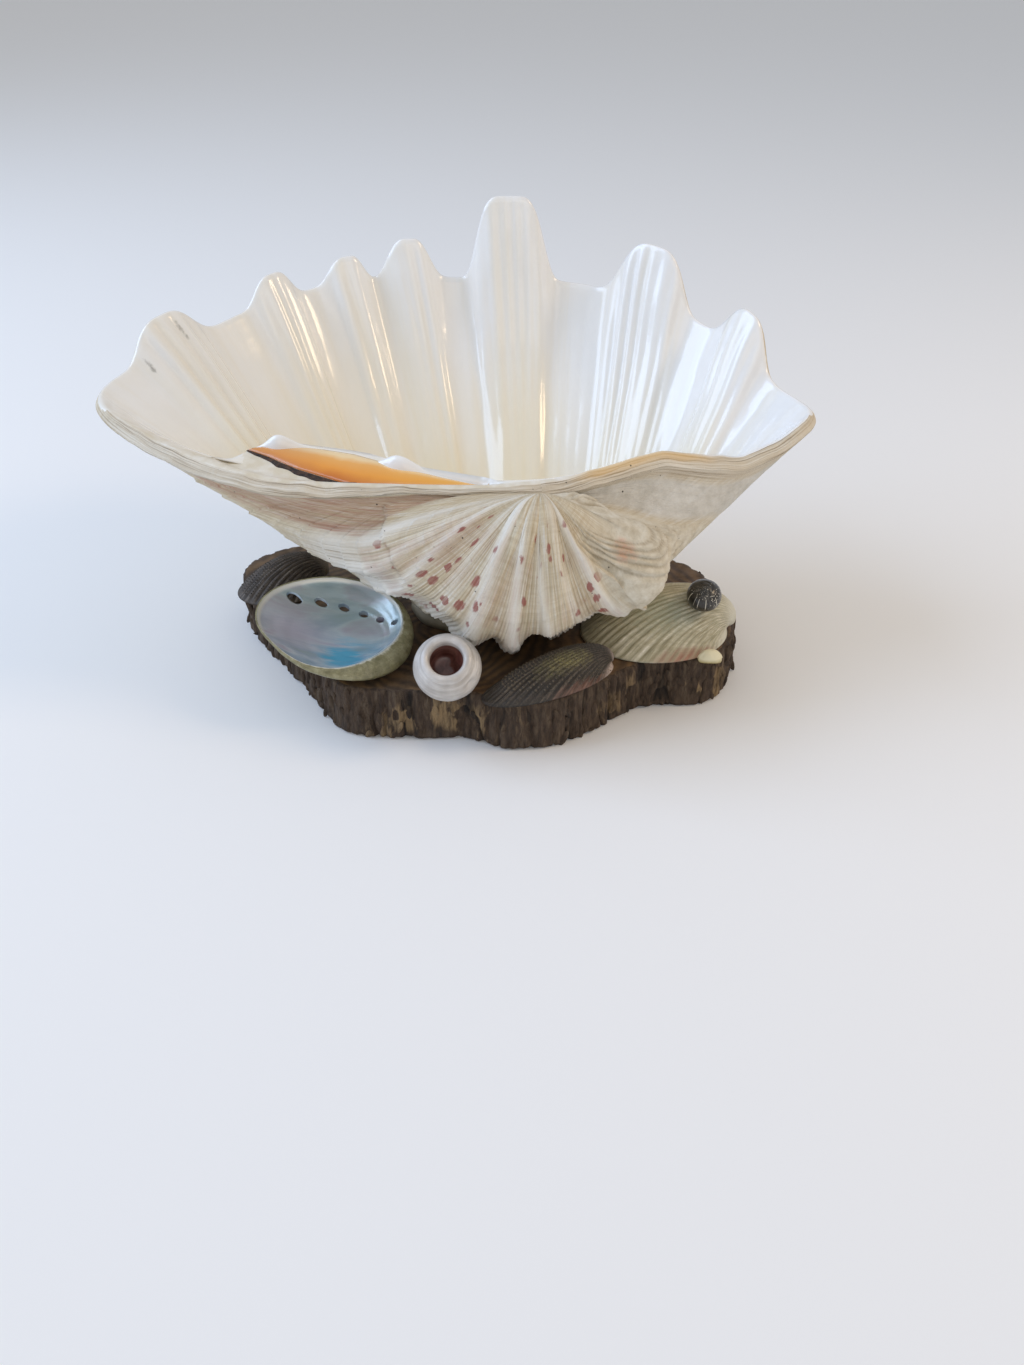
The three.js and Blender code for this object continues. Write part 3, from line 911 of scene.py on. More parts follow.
@dataclass(frozen=True)
class DriedLigament:
    """Dried horny ligament: near-black brown, rough, with brown fibres."""

    dark: str = "#1C130D"
    fibre: str = "#5A3D26"

    def material(self) -> bpy.types.Material:
        """Builds the material.

        Returns:
            The material.
        """
        material, tree, surface = begin_finish("conchiolin_dried_ligament", Roughness=0.7)
        spot = add(tree, "ShaderNodeTexCoord").outputs["Object"]
        grain = add(tree, NOISE, {"Vector": spot, "Scale": per_metre(1.6), "Detail": 4.0, "Roughness": 0.7})
        base = add(tree, RAMP, {0: grain}, stops=[(0.42, self.dark), (0.7, self.fibre)])
        bump = add(tree, BUMP, {"Strength": 0.8, "Distance": 0.0006, "Height": grain})
        plug(surface, {"Base Color": base, "Normal": bump})
        return material


@dataclass(frozen=True)
class Nacre:
    """Mother-of-pearl of the abalone: satin sheets whose colour drifts between blue, green and rose."""

    grey: str = "#9DB3C3"
    rose: str = "#B8AEBE"
    green: str = "#8CA9A4"
    cyan: str = "#45B2D8"
    pearl: str = "#C4D2DB"
    olive: str = "#97A8A2"
    rim: str = "#E9E6DA"

    def material(self) -> bpy.types.Material:
        """Builds the material.

        Returns:
            The material.
        """
        material, tree, surface = begin_finish(
            "nacre_polished_abalone", IOR=1.6, Roughness=0.2, Metallic=0.3, Coat_Weight=0.6,
            Coat_Roughness=0.08)
        spot = add(tree, "ShaderNodeTexCoord").outputs["Object"]
        named = {
            key: add(tree, ATTRIBUTE, attribute_name=key).outputs["Fac"]
            for key in ("glow", "pearl", "green", "edge")
        }
        streak = add(tree, "ShaderNodeMapping", {
            "Vector": spot, "Rotation": (0.0, 0.0, math.radians(14)), "Scale": (0.45, 1.6, 1.0)})
        drift = add(tree, NOISE, {
            "Vector": streak, "Scale": per_metre(22), "Detail": 4.0, "Distortion": 0.8})
        base = add(tree, RAMP, {0: drift}, stops=[
            (0.3, self.green), (0.42, self.grey), (0.52, self.pearl), (0.6, self.rose), (0.72, self.grey)])
        fine = add(tree, "ShaderNodeMapping", {
            "Vector": spot, "Rotation": (0.0, 0.0, math.radians(-52)), "Scale": (0.3, 1.8, 1.0)})
        fine = add(tree, NOISE, {"Vector": fine, "Scale": per_metre(4), "Detail": 5.0, "Roughness": 0.7})
        base = painted(
            tree, base,
            (named["pearl"], 0.75, *WHOLE, self.rose),
            (named["green"], 0.6, *WHOLE, self.olive),
            (fine, named["glow"], 0.18, 0.42, 0.9, self.cyan),
            (named["edge"], 1.0, *WHOLE, self.rim))
        bump = add(tree, BUMP, {"Strength": 0.35, "Distance": 0.0004, "Height": fine})
        plug(surface, {"Base Color": base, "Normal": bump})
        return material


@dataclass(frozen=True)
class RibbedRind:
    """Weathered outside of a small shell: streaks on its ribs, bands on its growth lines, darker between the
    ribs.

    stops are the streak colours from dark to pale, band and beak tint the growth bands and the end where
    the ribs meet, patch is a growth on it, and edge tints its margin.
    """

    name: str
    stops: tuple[str, str, str]
    band: str
    beak: str
    patch: str
    edge: str
    rough: float = 0.6
    gloss: float = 0.0
    patched: float = 0.0
    grit: float = 0.0  # share of dark grains under a millimetre

    def material(self) -> bpy.types.Material:
        """Builds the material.

        Returns:
            The material.
        """
        material, tree, surface = begin_finish(
            self.name, IOR=1.53, Coat_Weight=self.gloss, Coat_Roughness=0.25)
        spot = add(tree, "ShaderNodeTexCoord").outputs["Object"]
        growth = add(tree, "ShaderNodeUVMap", uv_map="growth")
        named = {
            key: add(tree, ATTRIBUTE, attribute_name=key).outputs["Fac"]
            for key in ("crest", "beak", "margin", "patch")
        }
        along = add(tree, VECTOR, {0: growth, 1: (2.4, 0.6, 1.0)}, operation="MULTIPLY")
        along = add(tree, NOISE, {"Vector": along, "Scale": 1.0, "Detail": 5.0, "Roughness": 0.65})
        base = add(tree, RAMP, {0: along}, stops=[
            (0.34, self.stops[0]), (0.52, self.stops[1]), (0.7, self.stops[2])])
        bands = add(tree, VECTOR, {0: growth, 1: (0.12, 5.0, 1.0)}, operation="MULTIPLY")
        bands = add(tree, NOISE, {"Vector": bands, "Scale": 1.0, "Detail": 4.0, "Roughness": 0.6})
        crust = add(tree, NOISE, {"Vector": spot, "Scale": per_metre(3), "Detail": 5.0, "Roughness": 0.75})
        grain = add(tree, NOISE, {"Vector": spot, "Scale": per_metre(0.8), "Detail": 3.0, "Roughness": 0.7})
        low = add(tree, MATH, {0: 1.0, 1: named["crest"]}, operation="SUBTRACT")
        base = painted(
            tree, base,
            (bands, 1.0, 0.46, 0.7, 0.6, self.band),
            (crust, named["patch"], 0.22, 0.5, self.patched, self.patch),
            (grain, 1.0, 0.48, 0.6, self.grit, self.stops[0]),
            (low, 0.62, *WHOLE, self.stops[0]),
            (named["margin"], along, 0.3, 0.56, 0.85, self.edge),
            (named["beak"], 1.0, *WHOLE, self.beak))
        height = add(tree, MATH, {0: crust, 1: along}, operation="ADD")
        height = add(tree, MATH, {0: grain, 1: 0.8, 2: height}, operation="MULTIPLY_ADD")
        height = add(tree, MATH, {0: bands, 1: 0.8, 2: height}, operation="MULTIPLY_ADD")
        bump = add(tree, BUMP, {"Strength": 0.5, "Distance": 0.0003, "Height": height})
        rough = add(tree, RANGE, {0: crust, 1: 0.3, 2: 0.7, 3: self.rough - 0.12, 4: self.rough + 0.1})
        plug(surface, {"Base Color": base, "Roughness": rough, "Normal": bump})
        return material


@dataclass(frozen=True)
class PlainShell:
    """Even shell with faint rings: two near colours in bands along its growth, a satin skin."""

    name: str
    light: str
    dark: str
    rough: float = 0.35
    gloss: float = 0.2
    ring: float = 1.4  # millimetres between rings

    def material(self) -> bpy.types.Material:
        """Builds the material.

        Returns:
            The material.
        """
        material, tree, surface = begin_finish(
            self.name, IOR=1.55, Coat_Weight=self.gloss, Coat_Roughness=0.15, Roughness=self.rough)
        spot = add(tree, "ShaderNodeTexCoord").outputs["Object"]
        growth = add(tree, "ShaderNodeUVMap", uv_map="growth")
        rings = add(tree, VECTOR, {0: growth, 1: (0.4, 10 / self.ring, 1.0)}, operation="MULTIPLY")
        rings = add(tree, NOISE, {"Vector": rings, "Scale": 1.0, "Detail": 3.0})
        cloud = add(tree, NOISE, {"Vector": spot, "Scale": per_metre(7), "Detail": 4.0})
        share = add(tree, MATH, {0: rings, 1: cloud}, operation="MULTIPLY")
        share = add(tree, RANGE, {0: share, 1: 0.14, 2: 0.4})
        base = add(tree, MIX, {0: share, 6: self.dark, 7: self.light}, data_type="RGBA")
        bump = add(tree, BUMP, {"Strength": 0.35, "Distance": 0.0003, "Height": rings})
        plug(surface, {"Base Color": base, "Normal": bump})
        return material


@dataclass(frozen=True)
class NeriteGlaze:
    """Glossy black nerite: white rays from the spire on one half, white flecks on the other."""

    black: str = "#12100C"
    brown: str = "#2B241A"
    white: str = "#D8D2C2"

    def material(self) -> bpy.types.Material:
        """Builds the material.

        Returns:
            The material.
        """
        material, tree, surface = begin_finish(
            "nerite_glossy_black", IOR=1.55, Roughness=0.3, Coat_Weight=0.4, Coat_Roughness=0.15)
        spot = add(tree, "ShaderNodeTexCoord").outputs["Object"]
        rays = add(tree, ATTRIBUTE, attribute_name="rays").outputs["Fac"]
        rays = add(tree, RANGE, {0: rays, 1: 0.45, 2: 0.75})
        flecks = add(tree, CELLS, {"Vector": spot, "Scale": per_metre(1.0)})
        flecks = add(tree, RANGE, {0: flecks.outputs["Distance"], 1: 0.26, 2: 0.16})
        zone = add(tree, ATTRIBUTE, attribute_name="flecked").outputs["Fac"]
        flecks = add(tree, MATH, {0: flecks, 1: zone}, operation="MULTIPLY")
        mark = add(tree, MATH, {0: rays, 1: flecks}, operation="MAXIMUM")
        cloud = add(tree, NOISE, {"Vector": spot, "Scale": per_metre(4), "Detail": 3.0})
        base = add(tree, MIX, {0: cloud, 6: self.black, 7: self.brown}, data_type="RGBA")
        base = add(tree, MIX, {0: mark, 6: base, 7: self.white}, data_type="RGBA")
        plug(surface, {"Base Color": base})
        return material


@dataclass(frozen=True)
class WeatheredBark:
    """Dry pine-like bark: dark plates with black furrows, worn tan where the outer layer has scaled off."""

    dark: str = "#2A2119"
    brown: str = "#4A3A2C"
    grey: str = "#6B5C4A"
    tan: str = "#9C835F"
    black: str = "#120D09"

    def material(self) -> bpy.types.Material:
        """Builds the material.

        Returns:
            The material.
        """
        material, tree, surface = begin_finish("bark_weathered", IOR=1.45)
        spot = add(tree, "ShaderNodeTexCoord").outputs["Object"]
        depth = add(tree, ATTRIBUTE, attribute_name="depth").outputs["Fac"]
        worn = add(tree, ATTRIBUTE, attribute_name="worn").outputs["Fac"]
        grain = add(tree, "ShaderNodeMapping", {"Vector": spot, "Scale": (1.0, 1.0, 0.22)})
        fibre = add(tree, NOISE, {"Vector": grain, "Scale": per_metre(2.2), "Detail": 6.0, "Roughness": 0.7})
        base = add(tree, RAMP, {0: fibre}, stops=[(0.3, self.dark), (0.5, self.brown), (0.72, self.grey)])
        base = painted(
            tree, base, (worn, fibre, 0.3, 0.55, 0.85, self.tan), (depth, 1.0, 0.35, 0.95, 0.92, self.black))
        fine = add(tree, NOISE, {"Vector": grain, "Scale": per_metre(0.9), "Detail": 4.0, "Roughness": 0.7})
        height = add(tree, MATH, {0: fibre, 1: fine}, operation="ADD")
        bump = add(tree, BUMP, {"Strength": 0.9, "Distance": 0.0009, "Height": height})
        rough = add(tree, RANGE, {0: fine, 1: 0.3, 2: 0.7, 3: 0.62, 4: 0.9})
        plug(surface, {"Base Color": base, "Roughness": rough, "Normal": bump})
        return material


@dataclass(frozen=True)
class SawnWood:
    """Sawn end grain under an old stain, kept dark as painted shade too: brown rings with thin varnish left
    in patches.
    """

    # The colours are kept dark as painted shade, for the top lies in shadow between the shells.
    brown: str = "#4B3826"
    light: str = "#6E5436"
    varnish: str = "#2E241B"

    def material(self) -> bpy.types.Material:
        """Builds the material.

        Returns:
            The material.
        """
        material, tree, surface = begin_finish("wood_sawn_stained", IOR=1.5)
        spot = add(tree, "ShaderNodeTexCoord").outputs["Object"]
        warp = add(tree, NOISE, {"Vector": spot, "Scale": per_metre(40), "Detail": 3.0})
        bent = add(tree, VECTOR, {0: warp.outputs["Color"], 1: (0.03, 0.03, 0.0), 2: spot},
                   operation="MULTIPLY_ADD")
        rings = add(tree, "ShaderNodeTexWave", {"Vector": bent, "Scale": per_metre(2.6) / 6.3,
                    "Distortion": 1.5, "Detail": 3.0}, wave_type="RINGS", rings_direction="Z")
        base = add(tree, MIX, {0: rings, 6: self.brown, 7: self.light}, data_type="RGBA")
        cloud = add(tree, NOISE, {"Vector": spot, "Scale": per_metre(11), "Detail": 5.0, "Roughness": 0.7})
        base = painted(tree, base, (cloud, 1.0, 0.45, 0.7, 0.7, self.varnish))
        bump = add(tree, BUMP, {"Strength": 0.5, "Distance": 0.0005, "Height": cloud})
        rough = add(tree, RANGE, {0: cloud, 1: 0.35, 2: 0.65, 3: 0.45, 4: 0.75})
        plug(surface, {"Base Color": base, "Roughness": rough, "Normal": bump})
        return material


@dataclass(frozen=True)
class SetPaste:
    """Set putty or glue: one dull tone with dust in it, darker towards its foot."""

    name: str
    body: str
    foot: str
    height: float  # millimetres over which the foot's colour fades
    base: float  # millimetres above the floor where it starts
    rough: float = 0.6

    def material(self) -> bpy.types.Material:
        """Builds the material.

        Returns:
            The material.
        """
        material, tree, surface = begin_finish(self.name, IOR=1.5, Roughness=self.rough)
        spot = add(tree, "ShaderNodeTexCoord").outputs["Object"]
        up = add(tree, SPLIT, {0: spot}).outputs[2]
        share = add(tree, RANGE, {0: up, 1: self.base * MM, 2: (self.base + self.height) * MM})
        dust = add(tree, NOISE, {"Vector": spot, "Scale": per_metre(3), "Detail": 4.0})
        share = add(tree, MATH, {0: dust, 1: 0.4, 2: share}, operation="MULTIPLY_ADD")
        share = add(tree, RANGE, {0: share, 1: 0.2, 2: 1.0})
        base = add(tree, MIX, {0: share, 6: self.foot, 7: self.body}, data_type="RGBA")
        bump = add(tree, BUMP, {"Strength": 0.4, "Distance": 0.0004, "Height": dust})
        plug(surface, {"Base Color": base, "Normal": bump})
        return material


@dataclass(frozen=True)
class StudioPaper:
    """Matt white paper sweep under the piece."""

    white: str = "#F4F4F3"

    def material(self) -> bpy.types.Material:
        """Builds the material.

        Returns:
            The material.
        """
        return begin_finish("paper_studio_floor", Roughness=0.9, Base_Color=self.white)[0]


# ------------------------------------------------------------ the giant clam


@dataclass(frozen=True)
class Tongue:
    """One fluted tongue of the free edge.

    bearing is its direction from the umbo, half its half width, rise its height, lean how far it leans
    out, square how steep its sides are, and skew how much narrower its right half is than its left.
    """

    bearing: float
    half: float
    rise: float
    lean: float
    square: float
    skew: float = 0.0


@dataclass
class ClamValve:
    """The giant clam valve with its hinge: sizes in millimetres and degrees, in the rim plane's own axes."""

    umbo: tuple[float, float, float] = (29, -38, 106.5)
    tilt: float = 12
    rim: tuple[tuple[float, float, float], ...] = (
        (0, 0, 0), (48, 22, -1), (84, 31, -8), (113, 52, -3), (105, 82, -9), (76, 127, -4), (26, 163, -4),
        (-38, 171, -4), (-77, 169, -4), (-112, 157, -4), (-143, 130, -4), (-178, 90, -4), (-184, 60, 0),
        (-160, 33, 0), (-110, 4, 0), (-60, -2, 0),
    )
    tongues: tuple[Tongue, ...] = (
        Tongue(48.5, 13.5, 20, 2, 3.0, 0.1), Tongue(70, 17.5, 26, 4, 3.8, 0.03), Tongue(94, 17, 38, 7, 5.0),
        Tongue(109, 11.3, 19, 2, 3.2, 0.16), Tongue(118, 9.5, 13, 1, 3.2, 0.2),
        Tongue(129, 11, 13, 1, 3.2, 0.16),
        Tongue(146.6, 16.5, 15, 2, 3.4, 0.06),
    )
    lip_free: float = 2.6
    lip_front: float = 5.2
    lip_waist: float = 0.6  # share that the lip loses where the fan meets the hinge
    hinge_set: tuple[float, float] = (-5.2, -3.4)
    shrink_inside: float = 0.612
    shrink_outside: float = 0.559
    curl: float = 0.6
    curl_from: float = 1.9
    shoulder: float = 0.13
    front_wall: float = 15
    beak_rise: float = 2.4
    beak: float = 2.8
    plate: tuple[tuple[float, float], ...] = (
        (-165, -9), (-148, 12), (-128, 32), (-108, 36), (-75, 27), (-50, 14), (-24, 5), (0, -9),
    )
    columns: int = 560
    # Even steps of the outline are denser along the free edge: share of the columns, share of the length.
    spacing: tuple[tuple[float, float], ...] = ((0, 0), (0.10, 0.17), (0.86, 0.735), (1, 1))
    # Growth stops: angle about the hinge and height of the ledge.
    ledges: tuple[tuple[float, float], ...] = (
        (5, 0.5), (11, 0.7), (18, 0.5), (26, 0.8), (35, 0.6), (45, 0.8), (55, 0.6), (66, 0.8), (77, 0.7),
        (87, 0.7), (97, 0.9), (111, 0.3), (126, 0.25), (134, 0.2), (143, 0.2),
    )
    # Bearings of the main outside ribs at three angles about the hinge: the rim, the overhang, the umbo.
    rib_angles: tuple[float, ...] = (20, 105, 170)
    ribs: tuple[tuple[float, float, float, float], ...] = (
        (58.5, 57, 60, 1.0), (70, 71, 78, 0.45), (82, 85, 93, 0.7), (102.5, 99.5, 108.5, 1.0),
        (113.5, 115.2, 124, 1.25), (123.5, 127, 137, 0.6), (138, 142.5, 158, 1.0), (151, 153, 165, 0.6),
        (163, 163, 172, 0.9),
    )
    # Rounded scales that hang from the overhang: bearing and half width.
    scales: tuple[tuple[float, float], ...] = ((99.6, 5.0), (114.6, 6.2))
    # How far the growth lines lag behind in the recess right of the fan, by bearing.
    lag: tuple[tuple[float, float], ...] = (
        (16, -62), (21, -44), (26, -24), (32, -6), (39, 8), (46, 25), (51, 38), (57, 52))
    # Rolled folds of the recess: angle where the growth lines don't lag, and height.
    folds: tuple[tuple[float, float], ...] = (
        (145, 1.0), (137, 1.7), (129, 2.1), (121, 1.6), (112, 2.4), (103, 1.8), (94, 2.2))
    fold_widths: tuple[float, float] = (4.4, 2.0)  # towards the umbo and towards the rim
    # The fan's right border: angles about the hinge, and its bearing there.
    fan_side: tuple[tuple[float, float], ...] = ((110, 44), (126, 48), (138, 54), (152, 59.5))
    ear: float = 11  # how far the right flank swells out below its recess
    fill: float = 4.5  # and the swelling between the flank and the fan
    ridge: float = 2.8  # height of the fan's right border
    sink: float = 3.0  # how far the ground between the folds lies back
    # The lip from outside to inside: share of its thickness, and of the outside's finish there.
    lip_steps: tuple[float, ...] = (0.86, 0.72, 0.58, 0.44, 0.3, 0.15)
    lip_finish: tuple[float, ...] = (1, 1, 0.3, 0, 0, 0)
    umbo_end: float = 214
    floor_start: float = 78
    pleat: float = 0.95  # how deep the tongues fold outwards, times the root of their rise
    rib_pitch: float = 9.2
    riblet_pitch: float = 4.4
    flute_pitch: float = 7.2
    plate_depth: float = 5.0
    plate_reach: float = 1.07

    def outline(self) -> dict[str, np.ndarray]:
        """Works out the rim.

        Returns:
            Arrays over the columns: "p" the rim points, "tongue" their offset, "out" the outward direction,
            "free" 1 on the free edge, "lip" the edge's thickness, "run" the length along the rim and
            "bearing" the direction from the umbo, both with a last value that closes the round.
        """
        p = closed_curve(self.rim, self.columns, self.spacing)
        tongue = np.zeros_like(p)
        for t in self.tongues:
            d = np.array([math.cos(math.radians(t.bearing)), math.sin(math.radians(t.bearing))])
            along = p[:, 0] * d[0] + p[:, 1] * d[1]
            off = p[:, 0] * d[1] - p[:, 1] * d[0]
            half = t.half * (1 - t.skew * np.sign(off))
            g = np.exp(-(np.abs(off / half) ** t.square)) * smooth(62, 100, along)
            tongue += np.stack([t.lean * g * d[0], t.lean * g * d[1], t.rise * g], 1)
        ahead, behind = np.roll(p, -1, 0), np.roll(p, 1, 0)
        tangent = ahead - behind
        tangent[:, 2] = 0
        tangent /= np.linalg.norm(tangent, axis=1)[:, None]
        out = np.stack([tangent[:, 1], -tangent[:, 0]], 1)
        steps = np.linalg.norm(ahead - p, axis=1)
        bearing = np.degrees(np.arctan2(p[:, 1], p[:, 0]))
        bearing = np.where(bearing < -90, bearing + 360, bearing)
        bearing[0] = bearing[1]
        free = smooth(30, 75, p[:, 1])
        thin = 1 - self.lip_waist * bell(p[:, 0], -48, 26) * (1 - free)
        return {
            "p": p, "tongue": tongue, "out": out, "free": free,
            "lip": (self.lip_front + (self.lip_free - self.lip_front) * free) * thin,
            "run": np.concatenate([[0], np.cumsum(steps)]),
            "bearing": np.append(bearing, bearing[-1]),
        }

    def rows(self) -> tuple[list[float], list[float]]:
        """Works out the growth lines.

        Returns:
            Angles of the outside ones from the umbo to the rim, and of the inside ones from the rim down.
        """
        steps = [*np.arange(0, 88, 2.6), *np.arange(88, 150, 1.6), *np.arange(150, self.umbo_end, 4.0)]
        for angle, _ in self.ledges:
            steps = [s for s in steps if not angle - 0.9 < s < angle + 0.7]
            steps += [angle - 0.4, angle, angle + 0.7]
        outside = sorted(set(steps + [0.8, self.umbo_end]), reverse=True)
        near_lip = [0.7 * k for k in range(1, 14)]
        return outside, [*near_lip, *np.arange(11, self.floor_start, 2.6), self.floor_start]

    def shrink(self, angle: np.ndarray, side: Side) -> np.ndarray:
        """Size of the growth lines at angles in radians, as a share of the rim's."""
        rate = self.shrink_outside if side is Side.OUTSIDE else self.shrink_inside
        return np.exp(-(rate * angle + self.curl * np.maximum(0, angle - self.curl_from) ** 2))

    def lines(
        self, rim: dict[str, np.ndarray], turn: np.ndarray, side: Side, lip: float = 1.0, lift: float = 0.0,
    ) -> dict[str, np.ndarray]:
        """Rim points of growth lines, before they are turned and shrunk.

        Args:
            rim: the outline.
            turn: angles, one for each row and column, in degrees.
            side: the skin they belong to.
            lip: share of the lip's thickness that they stand out by, on the outside.
            lift: how far the lip is crowned there.

        Returns:
            The growth recipe's attributes "line", "turn", "belly", "axis" and "outer".
        """
        outer = side is Side.OUTSIDE
        angle = np.radians(turn)
        s = self.shrink(angle, side)
        settle = 0.44 if outer else 0.4
        fade = 1 + (settle - 1) * smooth(0, 90, turn)
        if not outer:
            fade = fade * (1 - smooth(58, self.floor_start, turn))
        ay, az = self.hinge_set if outer else (0.0, 0.0)
        if outer:
            az = az + self.beak_rise * smooth(92, 128, turn)
            ay = ay - 0.5 * smooth(92, 128, turn)
        wall = 0 if outer else self.front_wall * np.sin(angle) / s
        w = rim["lip"] * lip if outer else 0
        p, t, out = rim["p"], rim["tongue"], rim["out"]
        jag = rim["jag"] * np.exp(-turn / 3.5)
        pleat = self.pleat * np.sqrt(np.clip(t[:, 2], 0, None))
        pleat = pleat * smooth(2, 22, turn) * (1 - smooth(40, 82, turn))
        x = p[:, 0] + t[:, 0] * fade + (w + pleat) * out[:, 0]
        y = p[:, 1] + t[:, 1] * fade + (w + pleat) * out[:, 1] + wall * (1 - rim["free"]) - ay
        z = p[:, 2] + t[:, 2] * fade - 0.75 * w - az + jag + lift * rim["lip"]
        if outer:
            y = np.maximum(y, 0.4)
        else:
            edge = self.plate_reach * np.interp(p[:, 0], *np.array(self.plate).T)
            reach = np.clip(turn / 9.1, 0, 1)
            start = np.minimum(p[:, 1], edge)
            y = np.maximum(y, start + (edge - start) * reach)
            # The hinge plate lies a little below the lip in front of it.
            deep = self.plate_depth * smooth(0.6, 8, y - p[:, 1])
            deep = deep * smooth(0, 6, edge - p[:, 1]) * (turn < 9.2)
            z = np.where(deep > 0, np.minimum(z, y * np.sin(angle) - deep), z)
        belly = 1 - self.shoulder * np.sin(np.minimum(angle, math.pi / 2)) ** 2 * smooth(40, 140, -p[:, 0])
        shape = np.broadcast(x, y, z).shape
        return {
            "line": np.stack(np.broadcast_arrays(x, y, z), -1) * MM,
            "turn": np.broadcast_to(angle, shape),
            "belly": np.broadcast_to(belly, shape),
            "axis": np.stack(np.broadcast_arrays(0 * x, ay, az), -1) * MM,
            "outer": np.full(shape, side.value),
        }

    def main_ribs(self, bearing: np.ndarray, turn: np.ndarray) -> np.ndarray:
        """Shapes the main ribs of the outside.

        Args:
            bearing: direction of each column from the umbo.
            turn: the angle of each point about the hinge.

        Returns:
            1 on the crest of an ordinary rib and 0 in the valleys.
        """
        high = 0 * (bearing + turn)
        for *bearings, weight in self.ribs:
            crest = np.interp(turn, self.rib_angles, bearings)
            high = np.maximum(high, weight * np.exp(-((np.abs(bearing - crest) / 3.0) ** 1.7)))
        return high

    def overhang(self, bearing: np.ndarray) -> np.ndarray:
        """Rounded scales along the overhang, 1 on a scale and 0 between."""
        return np.maximum.reduce([
            np.exp(-(np.abs((bearing - middle) / half) ** 3.5)) for middle, half in self.scales])

    def recess(self, bearing: np.ndarray, turn: np.ndarray) -> tuple[np.ndarray, np.ndarray]:
        """Shapes the recess right of the fan and the flank below it.

        Args:
            bearing: direction of each column from the umbo.
            turn: the angle of each point about the hinge.

        Returns:
            The height, in millimetres, and the dirt and painted shade between the rolled folds, 0 to 1.
        """
        late = turn - np.interp(bearing, *np.array(self.lag).T)
        folds = 0 * late
        foot = 0 * late
        for level, height in self.folds:
            past = late - level
            folds = folds + height * bell(past, 0, np.where(past > 0, *self.fold_widths))
            # A dark line of dirt and painted shade lies at the foot of each fold.
            foot = np.maximum(foot, np.exp(-(((past + 3.4) / 1.7) ** 2)))
        folds = folds * (1 - 0.6 * smooth(134, 156, turn))
        side = np.interp(turn, *np.array(self.fan_side).T)
        inside = smooth(12, 24, bearing) * smooth(52, 74, turn)
        inside = inside * (1 - smooth(-18 + 13 * smooth(106, 124, turn), 1, bearing - side))
        ear = self.ear * bell(bearing, 38, 17) * bell(turn, 102, np.where(turn < 102, 13, 18))
        ear = ear + self.fill * bell(bearing, 50, 5) * bell(turn, 99, 11)
        width = np.where(bearing < side, 1.8, 4.4)
        ridge = self.ridge * np.exp(-((np.abs(bearing - side) / width) ** 1.6)) * smooth(106, 124, turn)
        sink = self.sink * smooth(100, 118, turn) * smooth(10, 46, bearing) * (1 - smooth(130, 160, turn))
        return (folds - sink) * inside + ear + ridge, foot * inside

    def outside_relief(
        self, rim: dict[str, np.ndarray], turn: np.ndarray, row: np.ndarray,
    ) -> dict[str, np.ndarray]:
        """Ribs, growth ledges and scales of the outside.

        Args:
            rim: the outline.
            turn: the angle of each point, in degrees.
            row: the angle of each row before it was made wavy, in degrees.

        Returns:
            "relief" in millimetres, "crest", 1 on a rib and 0 in a groove, and "ridge", 1 on a main rib.
        """
        run, bearing = rim["run"][:-1], rim["bearing"][:-1]
        s = self.shrink(np.radians(turn), Side.OUTSIDE)
        waver = Wander(3)
        phase = run + 2.0 * waver.at(flat(run, 0 * run), 26)
        ribbed = smooth(50, 58, bearing) * (1 - smooth(166, 174, bearing))
        wide, fine = rib(phase / self.rib_pitch + 0.2), rib(phase / self.riblet_pitch)
        main = self.main_ribs(bearing, turn) * ribbed
        relief = 0.075 * self.rib_pitch * (wide - 0.6) + 0.13 * self.riblet_pitch * (fine - 0.6)
        relief = s * ribbed * relief
        relief = relief + s * (1.6 + 3.0 * smooth(60, 98, turn)) * (main - 0.25 * ribbed)
        folds, foot = self.recess(bearing, turn)
        relief = relief + folds * np.clip(s / 0.3, 0, 1)
        for ledge, height in self.ledges:
            past = row - ledge
            fade = 3.6 if ledge < 90 else 2.4
            stand = np.where(past >= -1e-6, np.exp(-np.clip(past, 0, None) / fade), 0)
            relief = relief + stand * height * (0.35 + 0.4 * wide + 0.7 * main) * ribbed
        # The growth stop round the fan: everything older stands out, and two rounded scales hang from it.
        scale = self.overhang(bearing)
        low = smooth(58, 66, bearing) * (1 - smooth(132, 142, bearing))
        band = smooth(84, 95, turn) * (1 - smooth(106, 118, turn))
        relief = relief + low * band * (2.6 * scale - 2.3 * (1 - scale) + 0.5 * (fine - 0.5))
        relief = relief - 1.6 * low * smooth(62, 84, turn) * (1 - smooth(95.6, 96.6, row))
        stop = np.interp(bearing, (140, 158, 164, 170, 176), (114, 119, 114, 98, 74))
        past = turn - stop
        left = smooth(138, 152, bearing) * (1 - smooth(175, 178, bearing))
        relief = relief + left * 2.3 * np.exp(-np.abs(past) / np.where(past > 0, 16, 0.9))
        # The foot of the growth stop is darkened the same way, with dirt and painted shade.
        foot = np.maximum(foot, 0.5 * left * np.exp(-(((past + 1.6) / 1.3) ** 2)))
        relief = relief + 0.4 * np.maximum(s, 0.35) * waver.at(flat(run * s, turn * 2.2), 11, 3)
        relief = relief * smooth(0, 1.2, turn) * (1 - smooth(168, 200, turn))
        beak = smooth(56, 68, bearing) * (1 - smooth(112, 150, bearing))
        relief = relief + self.beak * beak * bell(turn, 176, 20)
        crest = np.clip(0.3 * wide + 0.4 * fine + 0.6 * main, 0, 1) * ribbed + 0.85 * (1 - ribbed)
        # The crest is lowered at the feet, which darkens them: dirt and painted shade.
        crest = np.clip(crest - 0.75 * foot, 0, 1)
        return {"relief": relief, "crest": crest, "ridge": np.clip(main, 0, 1) * smooth(92, 100, turn)}

